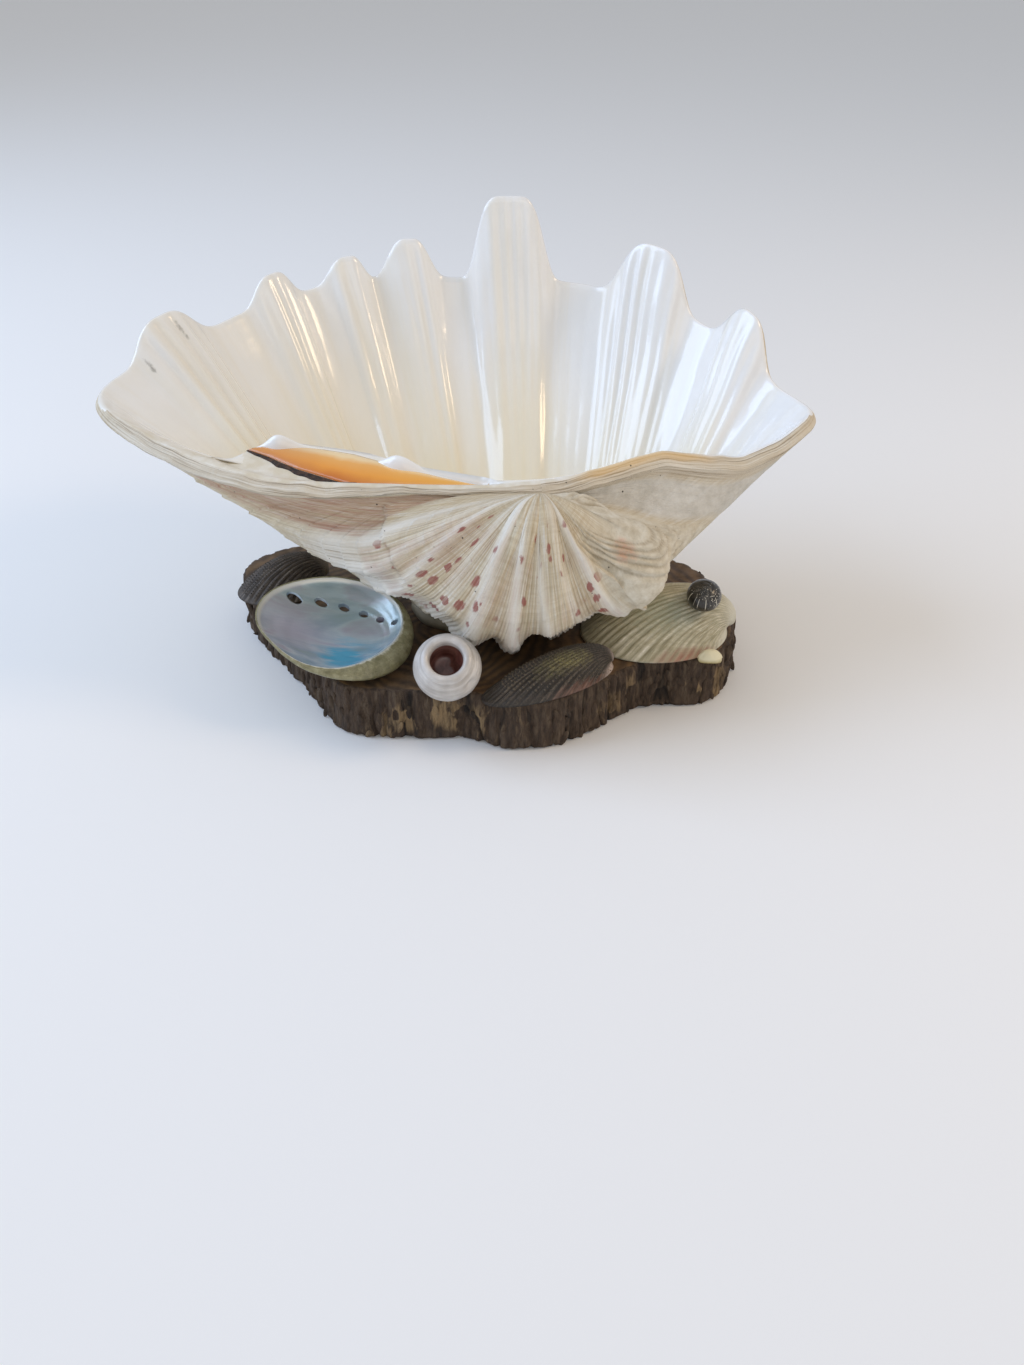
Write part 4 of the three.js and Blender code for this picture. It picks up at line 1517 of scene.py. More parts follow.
    def inside_relief(self, rim: dict[str, np.ndarray], turn: np.ndarray) -> np.ndarray:
        """Flutes near the free edge and a slow waver of the glaze.

        Args:
            rim: the outline.
            turn: the angle of each point, in degrees.

        Returns:
            Heights in millimetres.
        """
        run = rim["run"][:-1]
        waver = Wander(8)
        phase = run + 4.5 * waver.at(flat(run, 0 * run + 5), 20)
        power = 0.55 + 0.75 * waver.at(flat(run, 0 * run + 60), 17)
        flutes = (1 - np.abs(2 * ((phase / self.flute_pitch) % 1) - 1) ** 1.3 - 0.5) * power
        high = np.clip(rim["tongue"][:, 2] / 13, 0, 1)
        relief = 2.0 * flutes * (0.12 + 0.88 * high) * rim["free"] * (1 - smooth(16, 52, turn))
        glaze = 0.5 * waver.at(flat(run / 1.4, turn * 1.6), 13, 2)
        relief = relief + glaze * smooth(0, 8, turn) * rim["free"]
        return relief * (1 - smooth(60, 76, turn)) * (0.35 + 0.65 * smooth(0, 3, turn))

    def build(
        self, outside: bpy.types.Material, inside: bpy.types.Material, growth: Recipe,
    ) -> bpy.types.Object:
        """Makes the valve.

        Args:
            outside: finish of the weathered outside.
            inside: finish of the polished inside.
            growth: the growth recipe.

        Returns:
            The finished piece.
        """
        rim = self.outline()
        run, bearing = rim["run"], rim["bearing"]
        chips = Wander(21)
        rough = chips.at(flat(run[:-1], 0 * run[:-1]), 9, 3)
        rim["jag"] = rough * (0.45 + 0.6 * (1 - rim["free"])) - 0.2
        outer_rows, inner_rows = self.rows()
        out_row = np.array(outer_rows)[:, None]
        sway = 0.9 * chips.at(flat(run[:-1], 0 * run[:-1] + 40), 30)
        sway = sway + 0.5 * (rib(run[:-1] / self.rib_pitch) - 0.5)
        out_turn = out_row + sway * smooth(0, 14, out_row) * (1 - smooth(150, 170, out_row))
        in_row = np.array(inner_rows)[:, None]
        in_turn = in_row + 0 * run[:-1]
        ribs = self.outside_relief(rim, out_turn, out_row)
        zero = np.zeros((1, self.columns))
        front = 1 - rim["free"]
        outer = self.lines(rim, out_turn, Side.OUTSIDE)
        blocks = [(outer, ribs["relief"], ribs["crest"], ribs["ridge"], out_turn)]
        for share in self.lip_steps:
            crown = math.sin(math.pi * share)
            layers = 0.16 * chips.at(flat(run[:-1] / 7, 0 * run[:-1] + 9 * share), 1, 2)
            lift = crown * (0.34 - 0.2 * front + layers * front)
            blocks.append((self.lines(rim, zero, Side.OUTSIDE, share, lift), zero, zero + 0.8, zero, zero))
        blocks.append((self.lines(rim, zero, Side.INSIDE), zero, zero + 0.8, zero, zero))
        blocks.append((self.lines(rim, in_turn, Side.INSIDE), self.inside_relief(rim, in_turn), 0 * in_turn,
                       0 * in_turn, in_turn))
        data = {key: np.concatenate([b[0][key] for b in blocks]) for key in blocks[0][0]}
        relief, crest, ridge, turned = (np.concatenate([b[k] for b in blocks]) for k in (1, 2, 3, 4))
        data["relief"] = relief * MM
        data["skin"] = data["outer"].copy()
        lip = slice(len(outer_rows), len(outer_rows) + len(self.lip_steps))
        data["skin"][lip] = np.where(front > 0.5, 1.0, np.array(self.lip_finish)[:, None])
        turned = closing(turned)
        share = np.concatenate(
            [np.ones(len(outer_rows)), self.lip_steps, np.zeros(1 + len(inner_rows))])[:, None]
        zones = self.zones(bearing, turned, closing(rim["free"]), closing(rim["p"][:, 0]), share)
        grown = np.where(share == 1, turned / 10, -0.35 * (1 - share) - turned / 10)
        skin = Skin(
            rows=data["line"] / MM, point=data,
            corner={"turned": turned, "crest": closing(crest), "ridge": closing(ridge), **zones},
            growth=(np.broadcast_to(run / 10, turned.shape), grown),
        )
        valve = skin.build("clam_valve_shell", turned=False)
        growth.bake(
            valve, Shrink_Outside=self.shrink_outside, Shrink_Inside=self.shrink_inside, Curl=self.curl,
            Curl_From=self.curl_from, Rotation=(math.radians(self.tilt), 0, 0),
            Seat=[v * MM for v in self.umbo], Outside=outside, Inside=inside)
        self.soften_floor(valve, len(turned))
        return hand_over(valve, "clam_valve")

    def zones(
        self, bearing: np.ndarray, turn: np.ndarray, free: np.ndarray, x: np.ndarray, share: np.ndarray,
    ) -> dict[str, np.ndarray]:
        """Works out where each kind of marking lies, over the face corners.

        Args:
            bearing: direction from the umbo, in degrees.
            turn: angle about the hinge, in degrees.
            free: 1 on the free edge and 0 along the hinge side.
            x: place along the hinge.
            share: 1 on the outside, 0 on the inside, and between them over the lip.

        Returns:
            The strength of each marking, by the name of its attribute.
        """
        front = 1 - free
        right = 1 - smooth(50, 58, bearing)
        left = smooth(150, 160, bearing)
        edge = (1 - smooth(3, 12, turn)) * front
        return {
            "fan": smooth(94, 101, turn) * (1 - smooth(160, 176, turn)) * smooth(50, 58, bearing)
            * (1 - smooth(158, 168, bearing)),
            "chalk": 0.75 * bell(turn, 98, 12) * smooth(58, 66, bearing) * (1 - left)
            + 0.85 * bell(turn, 84, 17) * smooth(136, 148, bearing) * (1 - smooth(162, 169, bearing)),
            "lunule": right * smooth(48, 60, turn) * (1 - smooth(130, 160, turn)),
            "grey": right * (1 - smooth(40, 56, turn)) * smooth(4, 14, turn),
            "rust": 1.2 * bell(bearing, 33, 9) * bell(turn, 125, 11)
            + 0.8 * bell(bearing, 48, 5) * bell(turn, 155, 12),
            "flank": smooth(162, 166, bearing) * smooth(8, 24, turn) * (1 - smooth(96, 112, turn)),
            "wax": 0.7 * front * (1 - smooth(0.5, 4, turn)) * (1 - smooth(0.4, 0.8, share))
            * smooth(8, 24, x) * (1 - smooth(58, 78, x)),
            "layers": edge,
            # Painted warm light: the left part of the inside is tinted cream where the warm lamp falls.
            "old": smooth(84, 128, bearing),
            "stain": 0.9 * bell(turn, 58, 9) * bell(bearing, 84, 8),
            "streak": 1.0 * bell(turn, 3.2, 2.6) * (bell(bearing, 151.8, 0.36) + bell(bearing, 145.6, 0.36)),
            "sand": front * (1 - smooth(5, 10, turn)) * (1 - smooth(-10, 40, x)),
        }

    def soften_floor(self, valve: bpy.types.Object, rows: int) -> None:
        """Rounds the deepest rows of the inside and draws the last pole into the surface.

        Args:
            valve: the grown valve.
            rows: how many rows its skin has.
        """
        spots = spots_of(valve)
        grid = spots[: rows * self.columns].reshape(rows, self.columns, 3)
        grid[-1] = 0.5 * grid[-1] + 0.5 * grid[-2]
        for _ in range(60):
            tail = grid[-9:]
            tail[1:-1] = 0.5 * tail[1:-1] + 0.25 * (tail[:-2] + tail[2:])
            tail[1:] = 0.6 * tail[1:] + 0.2 * (np.roll(tail[1:], 4, 1) + np.roll(tail[1:], -4, 1))
        spots[-1] = grid[-1].mean(0)
        move_spots(valve, spots)


@dataclass
class HingePlate:
    """Amber band, white teeth and dark ligament on the valve's hinge plate, in the rim plane's axes."""

    valve: ClamValve
    inner_edge: tuple[tuple[float, float], ...] = (
        (-119, 29.5), (-109, 31.5), (-96, 31), (-75, 25.5), (-56, 16.8), (-40, 10), (-26, 5), (-20, 3.4))
    outer_edge: tuple[tuple[float, float], ...] = (
        (-119, 28.5), (-110, 24), (-97, 15.5), (-75, 5), (-56, 1.8), (-40, 1.0), (-26, 1.0), (-20, 1.4))
    lowest: float = -5.3  # nothing on the plate sinks below this level of the rim plane
    ligament_end: float = -72
    crown: float = 1.3
    # Teeth: both ends in the rim plane, half width, height of the peak and where it is along the tooth.
    teeth: tuple[tuple[tuple[float, float], tuple[float, float], float, float, float], ...] = (
        ((-117, 30.5), (-82, 27.6), 4.2, 6.6, 0.3), ((-68, 20.5), (-27, 4.6), 4.4, 6.0, 0.27))
    steps: int = 90
    across: int = 12

    def world(self, local: np.ndarray) -> np.ndarray:
        """Rim-plane points in the row frame, in millimetres."""
        turn = np.array(Matrix.Rotation(math.radians(self.valve.tilt), 3, "X"))
        return local @ turn.T + np.array(self.valve.umbo)

    def on_plate(self, flat_points: np.ndarray, tree: BVHTree, above: np.ndarray) -> np.ndarray:
        """Drops rim-plane points on to the valve.

        Args:
            flat_points: places in the rim plane, of shape (..., 3).
            tree: the valve's faces.
            above: how far over the surface each point ends.

        Returns:
            The points in the row frame, in millimetres.
        """
        normal = self.world(np.array([0, 0, 1.0])) - self.world(np.array([0, 0, 0.0]))
        start = self.world(flat_points + np.array([0, 0, 25.0]))
        result = np.empty_like(start)
        for index in np.ndindex(start.shape[:-1]):
            hit = tree.ray_cast(Vector(start[index] * MM), Vector(-normal))[0]
            result[index] = np.array(hit) / MM if hit else start[index] - 99 * normal
        level = (result - np.array(self.valve.umbo)) @ normal
        return result + (np.maximum(self.lowest - level, 0) + above)[..., None] * normal

    def strip(self, name: str, left: np.ndarray, right: np.ndarray, crown: np.ndarray,
              tree: BVHTree | None, finish: bpy.types.Material, sunk: float = 1.0) -> bpy.types.Object:
        """A closed band between two lines on the plate.

        Args:
            name: the piece's name.
            left: one edge, as rim-plane points.
            right: the other edge.
            crown: height of its middle, for each point of the edges.
            tree: the valve's faces, or None for a band that stands on the plate's lowest level.
            finish: its material.
            sunk: how far its foot goes into the plate.

        Returns:
            The finished piece.
        """
        share = np.linspace(0, 1, self.across)[None, :, None]
        spots = left[:, None] * (1 - share) + right[:, None] * share
        height = crown[:, None] * np.sin(math.pi * share[..., 0]) ** 0.7
        if tree:
            over = self.on_plate(spots, tree, height + 0.06)
            under = self.on_plate(spots, tree, np.full(height.shape, -sunk))
        else:
            level = np.stack([0 * height, 0 * height, self.lowest + height - 0.3], -1)
            over = self.world(spots + level)
            under = self.world(spots + np.array([0, 0, self.lowest - sunk]))
        rows = np.concatenate([over, under[:, ::-1]], 1)
        value = np.concatenate([np.broadcast_to(share[..., 0], height.shape)] * 2, 1)
        value[:, self.across :] = value[:, self.across :][:, ::-1]
        along = np.linspace(0, 1, len(left))[:, None] + 0 * closing(value)
        skin = Skin(rows=rows, corner={"across": closing(value), "along": along, "turned": 3 + 30 * along})
        piece = skin.build(name)
        piece.data.materials.append(finish)
        return hand_over(piece, "clam_valve")

    def tooth(self, name: str, knots: tuple, finish: bpy.types.Material) -> bpy.types.Object:
        """One white tooth: a smooth knob near its left end with a long low tail.

        Args:
            name: the piece's name.
            knots: its entry in teeth.
            finish: its material.

        Returns:
            The finished piece.
        """
        start, end, half, peak, at = knots
        t = np.linspace(0, 1, 44)
        axis = np.array(start) * (1 - t[:, None]) + np.array(end) * t[:, None]
        axis[:, 1] += 1.6 * np.sin(math.pi * t)
        way = np.gradient(axis, axis=0)
        way /= np.linalg.norm(way, axis=1)[:, None]
        across = np.stack([-way[:, 1], way[:, 0]], 1)
        knob = np.exp(-((np.abs(t - at) / np.where(t < at, 0.15, 0.2)) ** 2))
        tail = np.sin(math.pi * t) ** 0.5
        wide = half * (0.42 * tail + 0.58 * knob)[:, None]
        flat_z = np.zeros((len(t), 1))
        near = np.concatenate([axis - wide * across, flat_z], 1)
        far = np.concatenate([axis + wide * across, flat_z], 1)
        return self.strip(name, near, far, peak * (0.24 * tail + 0.76 * knob), None, finish)

    def build(self, shell: bpy.types.Object, band: bpy.types.Material, ligament: bpy.types.Material,
              porcelain: bpy.types.Material) -> None:
        """Makes the band, the ligament and the two teeth.

        Args:
            shell: the valve that they lie on.
            band: finish of the band.
            ligament: finish of the ligament.
            porcelain: finish of the teeth.
        """
        tree = faces_of(shell)
        share = np.linspace(0, 1, self.steps)
        lines = []
        for edge in (self.inner_edge, self.outer_edge):
            knots = np.array(edge, float)
            run = np.concatenate([[0], np.cumsum(np.linalg.norm(np.diff(knots, axis=0), axis=1))])
            x = np.interp(share, run / run[-1], knots[:, 0])
            y = np.interp(share, run / run[-1], knots[:, 1])
            lines.append(np.stack([x, y, 0 * x], 1))
        crown = self.crown * np.sin(math.pi * share) ** 0.3
        self.strip("clam_hinge_band", lines[1], lines[0], crown, tree, band)
        wander = Wander(31)
        x = np.linspace(-119, self.ligament_end, 60)
        outer = np.interp(x, *np.array(self.outer_edge).T)
        wide = 3.2 * np.sin(np.linspace(0.05, math.pi - 0.05, 60)) ** 0.5
        wide = wide * (1 + 0.35 * wander.at(flat(x, 0 * x), 4, 2))
        near = np.stack([x, outer - 0.2, 0 * x], 1)
        far = np.stack([x - 0.3 * wide, outer - wide, 0 * x], 1)
        self.strip("clam_ligament", near, far, np.full(len(x), 0.7), tree, ligament)
        for name, knots in zip(("clam_tooth_left", "clam_tooth_right"), self.teeth):
            self.tooth(name, knots, porcelain)


# ------------------------------------------------------------- small bivalves


@dataclass
class SmallValve:
    """A small bivalve lying hollow side down, its beak at the seat and its ribs running to the margin.

    reach and half are its length and half width, rate how fast its growth lines shrink, wall its
    thickness, ribs how many ribs cross it, and rise their height as a share of their pitch.
    """

    node: str
    slot: str
    seat: Seat
    reach: float
    half: float
    rate: float
    wall: float
    ribs: int
    rise: float
    skip: float = 0.5  # part of the round at the beak left smooth, in radians
    columns: int = 288
    stops: tuple[float, ...] = (12, 26, 43, 66, 92)
    seed: int = 5
    # Angles about the hinge of the growth lines, outside from the beak down and inside from the margin up.
    out_angles: tuple[float, ...] = (
        150, 142, 134, 126, 118, 111, 104, 98, 92, 86, 80, 74, 69, 64, 59, 54, 50, 46, 42, 38, 34.5, 31, 28,
        25, 22, 19, 16, 13, 10.5, 8, 6, 4, 2, 0.8, 0)
    in_angles: tuple[float, ...] = (0, 3, 7, 12, 18, 25, 33, 42, 52, 62, 70)

    def lines(self, turn: np.ndarray, side: Side) -> dict[str, np.ndarray]:
        """Works out rows of the shell.

        Args:
            turn: the angle of each row about the hinge, in degrees.
            side: the skin they belong to.

        Returns:
            The growth recipe's attributes.
        """
        inset, back = (0.0, 0.0) if side is Side.OUTSIDE else (self.wall, 2 * self.wall)
        around = angles(self.columns)
        x = (self.half - inset) * np.sin(around) + 0 * turn
        y = (self.reach - back - inset) * (1 - np.cos(around)) / 2 + 0 * turn
        return {
            "line": np.stack([x, y, 0 * x], -1) * MM,
            "turn": np.radians(turn) + 0 * x,
            "belly": np.ones(x.shape),
            "axis": np.broadcast_to(np.array([0, back, 0]) * MM, (*x.shape, 3)),
            "outer": np.full(x.shape, side.value),
            "skin": np.full(x.shape, side.value),
        }

    def build(
        self, outside: bpy.types.Material, inside: bpy.types.Material, growth: Recipe,
    ) -> bpy.types.Object:
        """Makes the shell.

        Args:
            outside: finish of the ribbed outside.
            inside: finish of the hollow.
            growth: the growth recipe.

        Returns:
            The finished piece.
        """
        around = angles(self.columns, closed=True)
        out_turn = np.array(self.out_angles, float)[:, None]
        in_turn = np.array(self.in_angles, float)[:, None]
        waver = Wander(self.seed)
        s = np.exp(-self.rate * np.radians(out_turn))
        from_beak = np.minimum(around, 2 * math.pi - around)
        span = smooth(self.skip, self.skip + 0.25, from_beak)
        phase = (around - self.skip) / (2 * math.pi - 2 * self.skip) * self.ribs
        wide = rib(phase)
        pitch = (self.reach + 2 * self.half) * 2 / self.ribs * 0.8
        relief = self.rise * pitch * s * (wide[:-1] - 1) * span[:-1]
        for stop in self.stops:
            relief = relief - 0.45 * s * np.exp(-np.abs(out_turn - stop) / 2.0)
        lumps = waver.at(flat(around[:-1] * 9, out_turn / 6), 2.0, 3)
        relief = relief + 0.25 * s * lumps * smooth(0, 6, out_turn)
        relief = relief * smooth(0, 4, out_turn) * (1 - smooth(120, 150, out_turn))
        blocks = [self.lines(out_turn, Side.OUTSIDE), self.lines(in_turn, Side.INSIDE)]
        data = {key: np.concatenate([b[key] for b in blocks]) for key in blocks[0]}
        data["relief"] = np.concatenate([relief, np.zeros((len(in_turn), self.columns))]) * MM
        turned = np.concatenate([out_turn, 0 * in_turn]) + 0 * around
        length = (self.reach / 2 + self.half) * around
        skin = Skin(
            rows=data["line"] / MM, point=data,
            corner={
                "crest": (wide * span + 0.6 * (1 - span)) + 0 * turned,
                "beak": 0.9 * np.maximum(smooth(60, 105, turned), 1 - smooth(0.5, 1.0, from_beak)),
                "margin": (1 - smooth(2, 24, turned)) * bell(around, 5.0, 0.8),
                "patch": bell(around, 3.9, 0.9) * bell(turned, 26, 18),
            },
            growth=(np.broadcast_to(length / 10, turned.shape), turned / 10),
        )
        shell = skin.build(f"{self.node}_ribs", turned=True)
        growth.bake(
            shell, Shrink_Outside=self.rate, Shrink_Inside=self.rate * 1.12, Curl=0.0, Sense=-1.0,
            Rotation=(0, 0, math.radians(self.seat.turn)), Seat=[v * MM for v in self.seat.at],
            Outside=outside, Inside=inside)
        return hand_over(shell, self.node)

    def beads(
        self, finish: bpy.types.Material, recipe: Recipe, spacing: float, bead: tuple[float, float, float],
        reach: tuple[float, float] = (6, 96),
    ) -> bpy.types.Object:
        """Strings beads along the ribs.

        Args:
            finish: the beads' material.
            recipe: the bead recipe.
            spacing: step between beads.
            bead: half length, half width and half height of one.
            reach: angles about the hinge that the beads run between.

        Returns:
            The finished piece.
        """
        turn = np.radians(np.linspace(*reach, 40))
        spots, sizes, edges = [], [], []
        for k in range(self.ribs):
            around = self.skip + (k + 0.5) / self.ribs * (2 * math.pi - 2 * self.skip)
            s = np.exp(-self.rate * turn)
            y = s * self.reach * (1 - math.cos(around)) / 2
            line = np.stack([s * self.half * math.sin(around), y * np.cos(turn), y * np.sin(turn)], 1)
            line[:, 2] -= 0.1 * s
            base = len(spots) * len(turn)
            edges += [(base + i, base + i + 1) for i in range(len(turn) - 1)]
            spots.append(place(line, self.seat))
            sizes.append(np.clip(s * (0.35 + 0.65 * math.sin(around / 2)), 0.2, 1))
        mesh = bpy.data.meshes.new(f"{self.node}_beads")
        mesh.from_pydata((np.concatenate(spots) * MM).tolist(), edges, [])
        mesh.attributes.new("size", "FLOAT", "POINT").data.foreach_set("value", np.concatenate(sizes))
        piece = link(f"{self.node}_beads", mesh)
        recipe.bake(piece, Spacing=spacing * MM, Bead=[v * MM for v in bead], Seed=self.seed, Finish=finish)
        return hand_over(piece, self.node)


# --------------------------------------------------------------- snail shells


@dataclass
class AbaloneShell:
    """The pearly ear-shaped dish, hollow side up, with its row of breathing holes."""

    seat: Seat = Seat(at=(-57, -33, 40.6), turn=-14, lean=14, roll=5)
    long: float = 34.5
    wide: float = 29
    rise: float = 13
    wall: float = 2.6
    drift: float = 0.3
    columns: int = 240
    # The spire side bulges out beyond the opening: how far, where, and over what part of the round.
    bulge: float = 7.0
    bulge_at: float = 20
    bulge_span: float = 56
    # Breathing holes: the row's two ends and its sag, the first hole's length and how each next one shrinks.
    row_from: tuple[float, float] = (-75.2, -14.3)
    row_to: tuple[float, float] = (-32.2, -25.1)
    row_sag: float = -4.6
    hole: float = 6.4
    shrink: float = 0.88
    count: int = 6
    # The plugs that cut them: length, width as a share of a hole's length, and how they are turned.
    plug_length: float = 40
    plug_width: float = 0.66
    plug_turn: tuple[float, float, float] = (14, 0, -18)

    def sides(self) -> tuple[np.ndarray, np.ndarray]:
        """Works out the outline round the dish.

        Returns:
            How far the opening is set in from the outline, and the outline's radius as a share.
        """
        around = np.degrees(angles(self.columns))
        off = (around - self.bulge_at + 180) % 360 - 180
        inset = self.bulge * np.exp(-((off / self.bulge_span) ** 2))
        flat_side = (around - 128 + 180) % 360 - 180
        back_side = (around - 232 + 180) % 360 - 180
        radius = 1 - 0.10 * np.exp(-((flat_side / 34) ** 2)) - 0.05 * np.exp(-((back_side / 30) ** 2))
        return inset, radius

    def ring(self, t: np.ndarray, shell: np.ndarray, inset: np.ndarray, radius: np.ndarray) -> np.ndarray:
        """Works out rings of the dish.

        Args:
            t: share of the dish's width that each ring lies at.
            shell: how far inside the outermost skin it lies, in millimetres.
            inset: how far the opening is set in, round the dish.
            radius: the outline's radius, round the dish.

        Returns:
            The points in the dish's own axes.
        """
        around = angles(self.columns)
        shift = self.drift * self.long * (1 - t**1.6) * (1 - shell / self.long)
        x = (self.long * radius - shell - inset) * t * np.cos(around) + shift
        y = (self.wide * radius - shell - inset) * t * np.sin(around)
        z = (self.rise - shell) * np.maximum(0, 1 - t**2.4) ** 0.72 + 0 * around
        return np.stack([x, -y, -z], -1)

    def build(self, nacre: bpy.types.Material, crust: bpy.types.Material, holes: Recipe) -> bpy.types.Object:
        """Makes the dish and cuts its holes.

        Args:
            nacre: finish of the inside.
            crust: finish of the outside.
            holes: the recipe for the plugs.

        Returns:
            The finished piece.
        """
        out_t = np.sin(np.linspace(0.04, math.pi / 2, 42))[:, None]
        in_t = np.sin(np.linspace(math.pi / 2, 0.04, 50))[:, None]
        waver = Wander(14)
        around = angles(self.columns, closed=True)
        inset, radius = self.sides()
        outer = self.ring(out_t, 0 * out_t, 0 * inset, radius)
        outer[..., 2] -= 0.75 * inset * smooth(0.5, 1, out_t)
        inner = self.ring(in_t, 1.1 + (self.wall - 1.1) * (1 - in_t**6), inset, radius)
        # Growth steps and lumps of the crust, always inwards of the plain dish.
        lump = 0.5 + 0.5 * waver.at(outer + 50, 9, 3)
        step = rib(out_t * 9 + 0.35 * np.sin(around[:-1]))
        centre = outer.mean((0, 1))
        pull = (0.8 * lump + 0.5 * (1 - step)) * (0.4 + 0.6 * smooth(1.0, 0.93, out_t))
        outer += pull[..., None] * (centre - outer) / np.linalg.norm(centre - outer, axis=-1)[..., None]
        # The wall above the widest place rolls in to the edge of the opening.
        rolled = []
        for share in (0.2, 0.4, 0.6, 0.8, 0.95):
            bow = math.sin(share * math.pi / 2)
            turn = 1 - math.cos(share * math.pi / 2)
            rolled.append(outer[-1] + (inner[0] - outer[-1]) * np.array([turn, turn, bow]))
        swell = 0.4 * waver.at(inner + 20, 12, 2) * smooth(1.0, 0.9, in_t)
        inner[..., 2] += swell + 0.1 * np.cos(in_t * 40 + 2 * around[:-1]) * smooth(1.0, 0.85, in_t) * in_t
        local = np.concatenate([outer, np.stack(rolled), inner])
        # The rim is a little uneven.
        jag = 0.5 * waver.at(flat(np.cos(around[:-1]) * 9, np.sin(around[:-1]) * 9), 3, 2) - 0.35
        near_rim = np.concatenate([smooth(0.9, 1, out_t), np.ones((len(rolled), 1)), smooth(0.9, 1, in_t)])
        local[..., 2] += jag * near_rim
        edge = np.concatenate([0 * out_t, np.zeros((len(rolled), 1)), smooth(0.965, 0.995, in_t)])
        edge = edge + 0 * around
        span = np.concatenate([out_t, 1 + 0.1 * np.arange(len(rolled))[:, None], 2.5 - in_t])
        x, y, _ = np.moveaxis(local, -1, 0)
        glow = np.maximum(bell(x, 9, 13) * bell(y, -11, 10), 0.62 * bell(x, 10, 22) * bell(y, -8, 17))
        white = bell(x, -18, 16) * bell(y, -3, 15)
        green = smooth(-2, 14, y) * (1 - edge[:, :-1])
        skin = Skin(
            rows=place(local, self.seat),
            corner={"edge": edge, "glow": closing(glow), "pearl": closing(white), "green": closing(green),
                    "crest": 0.6 + 0 * edge, "margin": smooth(1.25, 1.38, span) * (span < 1.45) + 0 * edge,
                    "patch": 0.6 + 0 * edge},
            growth=(np.broadcast_to(around * 3.2, edge.shape), span * 6 + 0 * edge),
        )
        dish = skin.build("abalone_dish")
        quads = (len(local) - 1) * self.columns
        outside = slice((len(out_t) + len(rolled) - 1) * self.columns)
        dress(dish, nacre, crust, second=(outside, slice(quads, quads + self.columns)))
        self.cut(dish, holes)
        return hand_over(dish, "abalone_shell")

    def row(self) -> tuple[np.ndarray, np.ndarray]:
        """Works out the row of holes; the gaps shrink with the holes.

        Returns:
            Their places and their lengths, in millimetres.
        """
        sizes = self.hole * self.shrink ** np.arange(self.count)
        along = np.concatenate([[0], np.cumsum((sizes[:-1] + sizes[1:]))])
        share = (along / along[-1])[:, None]
        spots = np.array(self.row_from) * (1 - share) + np.array(self.row_to) * share
        spots[:, 1] -= self.row_sag * np.sin(math.pi * share[:, 0])
        return spots, sizes

    def cut(self, dish: bpy.types.Object, recipe: Recipe) -> None:
        """Cuts the breathing holes right through the dish.

        Args:
            dish: the dish.
            recipe: the recipe for the plugs.
        """
        mesh = bpy.data.meshes.new("abalone_plugs")
        spots, sizes = self.row()
        mesh.from_pydata([(x * MM, y * MM, (self.seat.at[2] - 4) * MM) for x, y in spots], [], [])
        mesh.attributes.new("size", "FLOAT", "POINT").data.foreach_set("value", sizes * MM)
        plugs = link("abalone_plugs", mesh)
        turn = [math.radians(v) for v in self.plug_turn]
        recipe.bake(plugs, Depth=self.plug_length * MM, Narrow=self.plug_width, Rotation=turn)
        cut = dish.modifiers.new("holes", "BOOLEAN")
        cut.operation = "DIFFERENCE"
        cut.solver = "EXACT"
        cut.object = plugs
        apply(dish, cut)
        bpy.data.objects.remove(plugs)


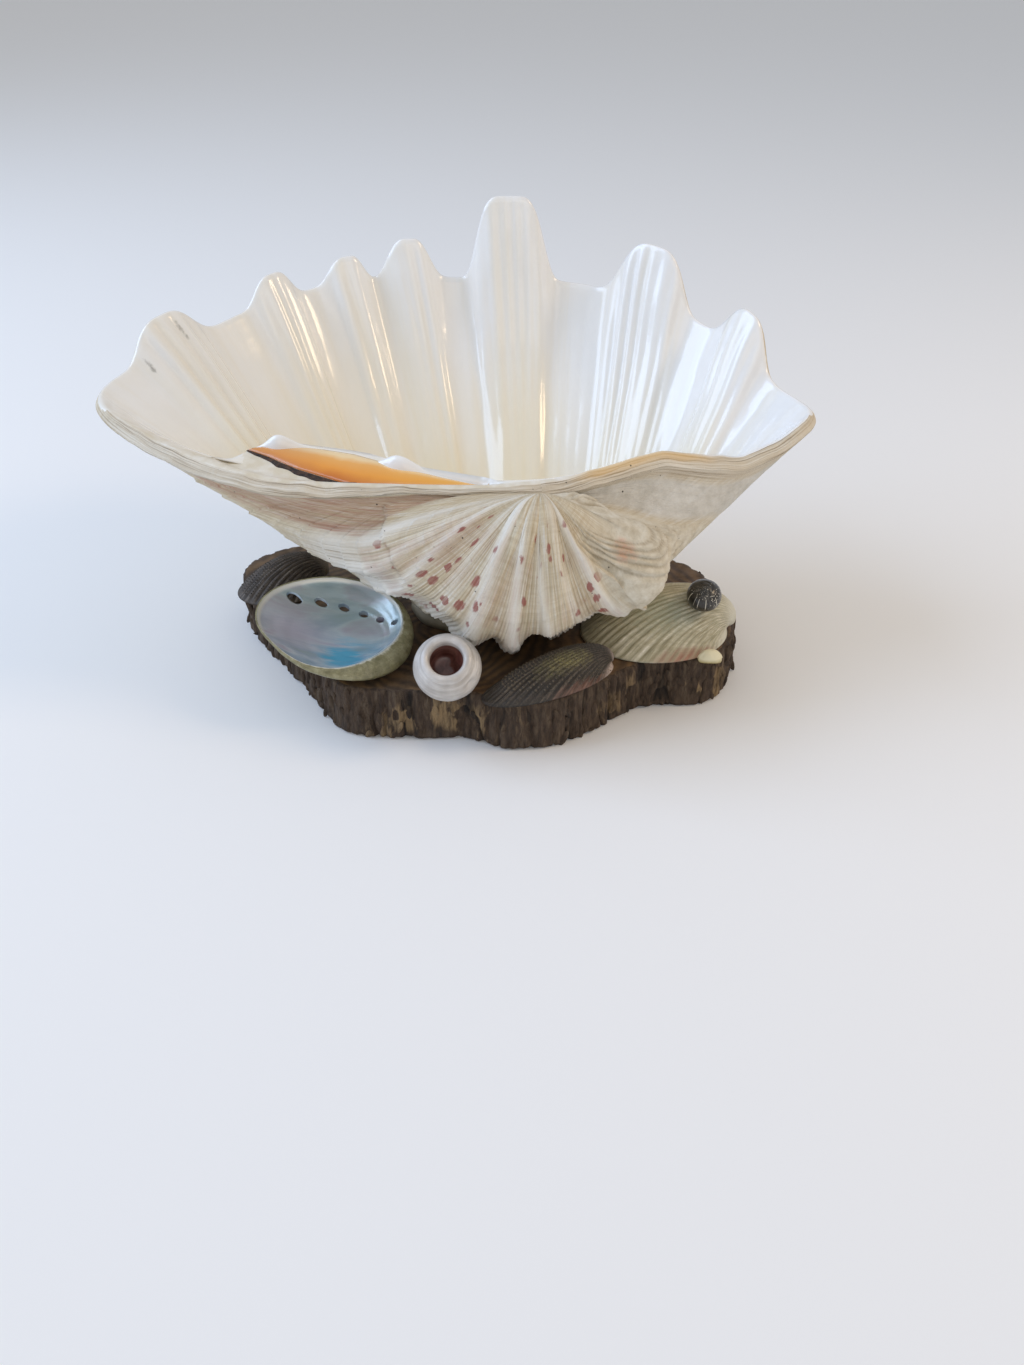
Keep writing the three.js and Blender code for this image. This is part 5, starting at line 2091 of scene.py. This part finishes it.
@dataclass
class TurbanShell:
    """The round white snail shell with its open mouth up."""

    seat: Seat = Seat(at=(-8, -63.5, 37.8), turn=3, lean=38)
    # Radius and height of the whorl from its foot to the lip, then of the throat.
    whorl: tuple[tuple[float, float], ...] = (
        (0.6, -12.55), (5, -12), (9.6, -9.4), (12.9, -5.2), (13.85, -0.8), (13.5, 2.2), (12.5, 4.6),
        (11.3, 6.2), (10.5, 7.0), (10.35, 7.7), (10.5, 8.5), (10.0, 9.5), (8.9, 10.1), (7.8, 10.0),
        (7.0, 9.2), (6.7, 8.0))
    throat: tuple[tuple[float, float], ...] = (
        (6.7, 7), (6.5, 4.5), (6.2, 1.5), (5.4, -1.2), (3.6, -2.4), (0.8, -2.6))
    columns: int = 150

    def curve(self, knots: tuple[tuple[float, float], ...], count: int) -> np.ndarray:
        """Draws a smooth profile.

        Args:
            knots: radius and height of the points it passes through.
            count: how many points to give.

        Returns:
            count points of radius and height.
        """
        knots = np.array(knots, float)
        k = np.linspace(0, len(knots) - 1, count)
        i = np.clip(k.astype(int), 0, len(knots) - 2)
        w = (k - i)[:, None]
        a, b = knots[i], knots[i + 1]
        before = knots[np.maximum(i - 1, 0)]
        after = knots[np.minimum(i + 2, len(knots) - 1)]
        t1, t2 = (b - before) / 2, (after - a) / 2
        return a + w * (t1 + w * ((3 * (b - a) - 2 * t1 - t2) + w * (2 * (a - b) + t1 + t2)))

    def build(self, white: bpy.types.Material, mouth: bpy.types.Material) -> bpy.types.Object:
        """Makes the shell.

        Args:
            white: finish of the whorl.
            mouth: finish of the throat.

        Returns:
            The finished piece.
        """
        body, hollow = self.curve(self.whorl, 90), self.curve(self.throat, 26)
        around = angles(self.columns, closed=True)
        a = around[:-1]
        r, z = body[:, :1], body[:, 1:]
        # The suture winds down the whorl, and fine ridges ring it.
        turn = (z + 12.5) / 9.5 - a / (2 * math.pi)
        suture = np.exp(-((((turn + 0.5) % 1) - 0.5) / 0.035) ** 2) * smooth(1.5, -3, z) * smooth(1.5, 5, r)
        rings = 0.34 * (rib((z - 1.2 * np.cos(a)) / 1.25) - 1) * smooth(1, 4, r) * smooth(8, 6.6, z)
        collar = -0.35 * np.exp(-(((z - 7.6) / 0.5) ** 2))
        notch = -1.3 * np.exp(-(((a - 5.5) / 0.2) ** 2)) * np.exp(-(((z - 3.2) / 1.6) ** 2))
        reach = r + rings + collar * (r > 9) + notch - 0.6 * suture
        x, y = reach * np.cos(a), reach * np.sin(a)
        rows = [np.stack([x, y, z + 0 * a], -1)]
        r, z = hollow[:, :1], hollow[:, 1:]
        depth = (7 - z) / 9.6
        pinch = bell(a, 0.25, 0.55) + bell(a, 0.25 + 2 * math.pi, 0.55)
        reach = r * (1 - 0.36 * smooth(0.1, 0.5, depth) * pinch)
        x, y = reach * np.cos(a) - 0.9 * depth, reach * np.sin(a) + 0.4 * depth
        rows.append(np.stack([x, y, z + 0 * a], -1))
        rows = np.concatenate(rows)
        tall = np.concatenate([body[:, 1:], 12 - hollow[:, 1:]]) + 0 * around
        growth = (np.broadcast_to(around * 1.4, tall.shape), tall / 10)
        skin = Skin(rows=place(rows, self.seat), growth=growth)
        shell = skin.build("turban_whorl")
        quads = (len(rows) - 1) * self.columns
        throat = slice((len(body) + 1) * self.columns, quads)
        dress(shell, white, mouth, second=(throat, slice(quads + self.columns, None)))
        return hand_over(shell, "turban_shell")


@dataclass
class NeriteShell:
    """The small black snail shell on the cockle."""

    seat: Seat = Seat(at=(99.6, -21.5, 47.3), turn=20, lean=22)
    radius: float = 7.6
    profile: tuple[tuple[float, float], ...] = (
        (0.05, -0.75), (0.62, -0.7), (0.93, -0.35), (0.99, 0.02), (0.86, 0.42), (0.5, 0.7), (0.2, 0.78),
        (0.03, 0.8))
    columns: int = 120

    def build(self, glaze: bpy.types.Material) -> bpy.types.Object:
        """Makes the shell.

        Args:
            glaze: its finish.

        Returns:
            The finished piece.
        """
        knots = np.array(self.profile) * self.radius
        k = np.linspace(0, len(knots) - 1, 48)
        line = np.stack([np.interp(k, np.arange(len(knots)), knots[:, i]) for i in (0, 1)], 1)
        for _ in range(5):
            line[1:-1] = 0.5 * line[1:-1] + 0.25 * (line[:-2] + line[2:])
        around = angles(self.columns, closed=True)
        a = around[:-1]
        r, z = line[:, :1], line[:, 1:]
        up = smooth(-0.3, 0.8, z / self.radius)
        spin = around + 1.1 * smooth(0.2, 1.0, 1 - r / self.radius)
        rays = np.abs(np.cos(13 * spin)) ** 26 * smooth(-0.45, 0.1, z / self.radius)
        rays = rays * smooth(-0.5, 0.4, np.cos(around - 4.1))
        whorl = 0.5 * np.exp(-(((r / self.radius - 0.34 - 0.05 * a / 6.28) / 0.05) ** 2)) * up
        reach = r - whorl - 0.10 * (1 - np.abs(np.cos(13 * (spin[:, :-1])))) * up
        rows = np.stack([reach * np.cos(a), reach * np.sin(a), z + 0 * a - 0.4 * whorl], -1)
        flecked = smooth(0.1, 0.7, np.cos(around - 5.6)) * smooth(-0.9, -0.4, z / self.radius) + 0 * r
        skin = Skin(rows=place(rows, self.seat), corner={"rays": rays, "flecked": flecked})
        shell = skin.build("nerite_whorl")
        dress(shell, glaze)
        return hand_over(shell, "nerite_shell")


# ------------------------------------------------------- slab, putty and glue


@dataclass
class WoodSlab:
    """The bark-edged slab."""

    height: float = 24
    outline: tuple[tuple[float, float], ...] = (
        (117, -14), (118, 14), (109, 46), (82, 68), (40, 80), (-10, 84), (-58, 80), (-95, 70), (-112, 50),
        (-105, 24), (-87, -5), (-70, -32), (-54, -56), (-29, -62), (-3, -62), (17, -70), (38, -67),
        (56, -54),
        (76, -39), (102, -36),
    )
    columns: int = 1100
    # Long cracks: share of the way round, half width and depth.
    cracks: tuple[tuple[float, float, float], ...] = (
        (0.035, 1.2, 4.0), (0.93, 1.0, 3.4), (0.885, 1.6, 5.0), (0.835, 0.9, 3.0), (0.71, 1.1, 3.4),
        (0.655, 1.3, 4.2), (0.60, 1.0, 3.0), (0.5, 1.4, 4.0), (0.38, 1.2, 4.0), (0.3, 1.3, 3.5),
        (0.2, 1.2, 4.0), (0.12, 1.0, 3.5), (0.97, 0.9, 3.0),
    )

    def build(self, bark: bpy.types.Material, sawn: bpy.types.Material) -> bpy.types.Object:
        """Makes the slab.

        Args:
            bark: finish of the side.
            sawn: finish of the top.

        Returns:
            The finished piece.
        """
        edge = closed_curve(self.outline, self.columns)[:, :2]
        steps = np.linalg.norm(np.roll(edge, -1, 0) - edge, axis=1)
        run = np.concatenate([[0], np.cumsum(steps)])
        tangent = np.roll(edge, -1, 0) - np.roll(edge, 1, 0)
        out = np.stack([tangent[:, 1], -tangent[:, 0]], 1) / np.linalg.norm(tangent, axis=1)[:, None]
        side = np.linspace(0.0, self.height - 1.0, 34)[:, None]
        waver = Wander(17)
        around = flat(edge[:, 0], edge[:, 1], 0 * edge[:, 0])
        spot = around[None] + np.array([0, 0, 1.0]) * side[..., None]
        long_grain = spot * np.array([1, 1, 0.16])
        plates = waver.at(long_grain, 7.5, 2)
        furrow = 1 - np.clip(np.abs(plates) / 0.22, 0, 1) ** 0.8
        scale = waver.at(spot * np.array([1, 1, 0.45]) + 90, 5.5, 3)
        flake = smooth(0.02, 0.10, scale)
        fine = waver.at(spot * np.array([1, 1, 0.2]) + 30, 2.2, 3)
        pull = 0.7 + 1.9 * furrow + 0.75 * (1 - flake) + 0.55 * (fine + 0.5)
        total = run[-1]
        for share, half, depth in self.cracks:
            bend = 2.2 * waver.at(flat(side * 0 + share * 99, side), 9)
            off = np.abs((run[:-1] - share * total + bend + total / 2) % total - total / 2)
            pull = np.maximum(pull, depth * np.exp(-((off / half) ** 2)) * (0.6 + 0.4 * smooth(24, 6, side)))
        pull = pull + 1.2 * smooth(1.2, 0, side)
        brim = smooth(self.height - 4, self.height - 1, side)
        pull = pull * (1 - 0.35 * brim) + 0.9 * brim
        rows = [np.concatenate([edge - out * p[:, None], np.full((self.columns, 1), float(h))], 1)
                for p, h in zip(pull, side[:, 0])]
        depth = [np.clip(furrow * 0.9 + (pull - 3.2) * 0.5, 0, 1)]
        worn = [flake * smooth(-0.2, 0.5, waver.at(spot + 60, 24, 2))]
        top_pull = pull[-1]
        for inset, drop in ((0.7, 0.55), (1.6, 0.22), (2.8, 0.06), (4.5, 0.0)):
            rows.append(np.concatenate(
                [edge - out * (top_pull * (1 - inset / 6) + inset)[:, None],
                 np.full((self.columns, 1), self.height - drop - 0.12)], 1))
            depth.append(np.zeros((1, self.columns)) + 0.1)
            worn.append(np.zeros((1, self.columns)) + 0.4)
        last = rows[-1][:, :2]
        for share in np.linspace(0.94, 0.04, 16):
            spots = last * share
            lift = 0.18 * waver.at(flat(spots[:, 0], spots[:, 1]), 6, 3) - 0.2
            rows.append(np.concatenate([spots, (self.height + lift)[:, None]], 1))
            depth.append(np.zeros((1, self.columns)))
            worn.append(np.zeros((1, self.columns)))
        under = np.array([0, 0, 0.0])
        over = np.array([0, 0, self.height - 0.2])
        skin = Skin(
            rows=np.stack(rows), poles=(under, over),
            point={"bark": np.concatenate([smooth(0.5, 3, side) * smooth(22, 19, side) + 0 * run[:-1],
                                           np.zeros((len(rows) - len(side), self.columns))])},
            corner={"depth": closing(np.concatenate(depth)), "worn": closing(np.concatenate(worn))},
        )
        slab = skin.build("slab_bark")
        dress(slab, bark, sawn, second=(slice((len(side) + 1) * self.columns, None),))
        return hand_over(slab, "wood_slab")

    def flakes(self, slab: bpy.types.Object, finish: bpy.types.Material, recipe: Recipe) -> bpy.types.Object:
        """Scatters loose flakes of bark over the side.

        Args:
            slab: the slab.
            finish: the flakes' material.
            recipe: the flake recipe.

        Returns:
            The finished piece.
        """
        piece = link("slab_flakes", slab.data.copy())
        recipe.bake(piece, Finish=finish)
        return hand_over(piece, "wood_slab")


@dataclass
class PuttyBed:
    """The putty that the valve is bedded in."""

    centre: tuple[float, float] = (7, 10)
    half: tuple[float, float] = (35, 30)
    gap: float = 0.5
    # Rings of its top, as shares of its width.
    steps: tuple[float, ...] = (0.985, 0.95, 0.9, 0.8, 0.65, 0.5, 0.35, 0.2, 0.06)
    columns: int = 96

    def build(self, valve: bpy.types.Object, finish: bpy.types.Material) -> bpy.types.Object:
        """Makes the bed under the valve.

        Args:
            valve: the valve that presses into it.
            finish: its material.

        Returns:
            The finished piece.
        """
        low, high = (np.array(v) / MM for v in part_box("putty_bed"))
        tree = faces_of(valve)
        around = angles(self.columns)
        waver = Wander(41)
        wobble = 1 - 0.05 * (1 + waver.at(flat(np.cos(around) * 4, np.sin(around) * 4), 2, 2))
        rows = []
        for share in (1.0, *self.steps):
            x = self.centre[0] + self.half[0] * share * wobble * np.cos(around)
            y = self.centre[1] + self.half[1] * share * wobble * np.sin(around)
            z = np.full(self.columns, low[2])
            if share < 1:
                for k in range(self.columns):
                    hit = tree.ray_cast(Vector((x[k] * MM, y[k] * MM, low[2] * MM)), Vector((0, 0, 1)))[0]
                    roof = hit.z / MM - self.gap if hit else low[2] + 3
                    z[k] = min(max(low[2] + 0.3, roof), low[2] + 4 + 14 * (1 - share), high[2])
            rows.append(np.stack([x, y, z], 1))
        skin = Skin(rows=np.stack(rows), poles=(np.array([*self.centre, low[2]]), rows[-1].mean(0)))
        bed = skin.build("putty_mound")
        dress(bed, finish)
        return hand_over(bed, "putty_bed")


@dataclass
class GlueBead:
    """The bead of glue beside the cockle."""

    columns: int = 72

    def build(self, finish: bpy.types.Material) -> bpy.types.Object:
        """Makes the bead inside its CAD box.

        Args:
            finish: its material.

        Returns:
            The finished piece.
        """
        low, high = (np.array(v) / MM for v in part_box("glue_bead"))
        middle, half = (low + high) / 2, (high - low) / 2
        waver = Wander(47)
        around = angles(self.columns)
        rows = []
        for up in np.linspace(0.02, 0.985, 26):
            r = math.sqrt(max(0, 1 - up**2.1)) * (0.9 + 0.1 * smooth(0, 0.22, up))
            spots = 3 * flat(np.cos(around), np.sin(around), 0 * around + up)
            lump = 1 - 0.17 * (1 + waver.at(spots, 1.7, 3))
            rows.append(np.stack([
                middle[0] + half[0] * r * lump * np.cos(around),
                middle[1] + half[1] * r * lump * np.sin(around),
                np.full(self.columns, low[2] + 2 * half[2] * up)], 1))
        skin = Skin(rows=np.stack(rows))
        bead = skin.build("glue_drop")
        dress(bead, finish)
        return hand_over(bead, "glue_bead")


# ---------------------------------------------------------------------- studio


@dataclass
class Studio:
    """Floor, light and camera, in metres."""

    eye: tuple[float, float, float] = (0.018, -0.505, 0.317)
    down: float = 33  # degrees below level
    lens: float = 34.3

    def build(self) -> None:
        """Sets up the studio."""
        mesh = bpy.data.meshes.new("studio_floor")
        mesh.from_pydata([(-9, -4, 0), (9, -4, 0), (9, 14, 0), (-9, 14, 0)], [], [(0, 1, 2, 3)])
        floor = link("studio_floor", mesh)
        floor.data.materials.append(StudioPaper().material())
        data = bpy.data.cameras.new("camera")
        data.lens = self.lens
        data.sensor_width = 36
        data.clip_start = 0.01
        camera = bpy.data.objects.new("camera", data)
        camera.location = self.eye
        camera.rotation_euler = Euler((math.radians(90 - self.down), 0, 0))
        bpy.context.scene.collection.objects.link(camera)
        bpy.context.scene.camera = camera
        middle = Vector((0.0, 0.02, 0.09))
        self.lamp("window_left", (-1.15, 0.05, 0.95), middle, 1.1, 1.3, 14.5, "#C9DFFF")
        self.lamp("lamp_right", (0.95, -0.15, 0.85), middle, 0.35, 0.35, 3.4, "#FFE0B8")
        self.lamp("fill_front", (0.25, -1.5, 0.75), middle, 1.2, 0.8, 2.1, "#FFF3E4")
        world = bpy.data.worlds.new("studio")
        world.use_nodes = True
        sky = world.node_tree.nodes["Background"]
        sky.inputs["Color"].default_value = srgb("#F3F5FA")
        sky.inputs["Strength"].default_value = 0.54
        bpy.context.scene.world = world
        bpy.context.scene.view_settings.view_transform = "Standard"
        bpy.context.scene.view_settings.look = "None"

    def lamp(self, name: str, at: tuple[float, float, float], aim: Vector, wide: float, tall: float,
             power: float, colour: str) -> None:
        """Adds one soft area lamp.

        Args:
            name: the lamp's name.
            at: its place.
            aim: the point that it faces.
            wide: its width.
            tall: its height.
            power: its power in watts.
            colour: its colour as a hex code.
        """
        data = bpy.data.lights.new(name, "AREA")
        data.shape = "RECTANGLE"
        data.size, data.size_y = wide, tall
        data.energy = power
        data.color = srgb(colour)[:3]
        lamp = bpy.data.objects.new(name, data)
        lamp.location = at
        lamp.rotation_euler = (aim - Vector(at)).to_track_quat("-Z", "Y").to_euler()
        bpy.context.scene.collection.objects.link(lamp)


def corners(bounds: object) -> list[list[float]]:
    return [[float(v) for v in corner] for corner in bounds]


def main() -> None:
    """Builds every piece round the frame."""
    logging.basicConfig(level=logging.INFO, format="%(message)s")
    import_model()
    growth, beads, flakes, holes = growth_recipe(), bead_recipe(), flake_recipe(), hole_recipe()
    Studio().build()

    porcelain = PorcelainShell().material()
    clam = ClamValve()
    valve = clam.build(ChalkyShell().material(), porcelain, growth)
    HingePlate(clam).build(valve, HingeBand().material(), DriedLigament().material(), porcelain)

    bark = WeatheredBark().material()
    slab = WoodSlab()
    body = slab.build(bark, SawnWood().material())
    slab.flakes(body, bark, flakes)
    PuttyBed().build(valve, SetPaste("putty_set", "#B5AB93", "#7A7058", 8, 24.4).material())
    GlueBead().build(SetPaste("glue_set_cream", "#E8DFBD", "#A89650", 2.6, 24.4, 0.4).material())

    AbaloneShell().build(
        Nacre().material(),
        RibbedRind("abalone_crusted_outside", ("#66613F", "#918B64", "#BDB793"), "#7A744C", "#B7B096",
                   "#D2CBAF", "#E9E4D4", rough=0.45, gloss=0.1, patched=0.45, grit=0.25).material(),
        holes)
    TurbanShell().build(
        PlainShell("turban_satin_white", "#DDD9D4", "#B5AFA8", ring=1.2).material(),
        PlainShell("turban_mouth_glaze", "#94665A", "#4A211B", rough=0.3, gloss=0.4).material())
    NeriteShell().build(NeriteGlaze().material())

    white_inside = PlainShell("small_shell_inside", "#E9E4DA", "#CFC7B8").material()
    mussel_rind = RibbedRind(
        "mussel_weathered_rind", ("#1B1713", "#3E372E", "#73685A"), "#4E4036", "#C9B7AD", "#938C5E",
        "#7A5648", rough=0.55, gloss=0.15, patched=0.85, grit=0.75).material()
    mussel = SmallValve(
        "mussel_shell", "dark_shell", Seat(at=(60, -38.5, 24.4), turn=120), 62, 12.6, 1.55, 2.2,
        ribs=32, rise=0.26, seed=5)
    mussel.build(mussel_rind, white_inside, growth)
    worn_rind = RibbedRind(
        "mussel_worn_beads", ("#4B4136", "#877A62", "#AFA284"), "#6A5D4A", "#C9B7AD", "#A39B67",
        "#7A5648", rough=0.5, gloss=0.15, patched=0.5, grit=0.6).material()
    mussel.beads(worn_rind, beads, 1.7, (0.75, 0.6, 0.5))
    SmallValve(
        "cockle_shell", "cockle", Seat(at=(112.5, -8, 24.4), turn=97), 65, 27.5, 1.0, 2.4, ribs=40,
        rise=0.16, columns=360, seed=6,
    ).build(
        RibbedRind("cockle_ribbed_chalk", ("#8A8468", "#C6BFA4", "#E6E1D0"), "#A9A083", "#D6D2C0",
                   "#9AA28C", "#98634E", rough=0.5, gloss=0.15, patched=0.6, grit=0.12).material(),
        white_inside, growth)
    ark_rind = RibbedRind(
        "ark_weathered_rind", ("#2B2622", "#5A5047", "#857A6C"), "#4A4139", "#9B9082", "#6B6558", "#8F8476",
        rough=0.65, grit=0.5).material()
    ark = SmallValve(
        "ark_shell", "grey_shell", Seat(at=(-72, 38, 24.4), turn=122), 41, 17, 0.85, 2.2, ribs=28, rise=0.2,
        seed=9)
    ark.build(ark_rind, white_inside, growth)
    ark.beads(ark_rind, beads, 1.3, (0.5, 0.6, 0.36), reach=(4, 100))

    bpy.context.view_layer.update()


if __name__ == "__main__":
    main()
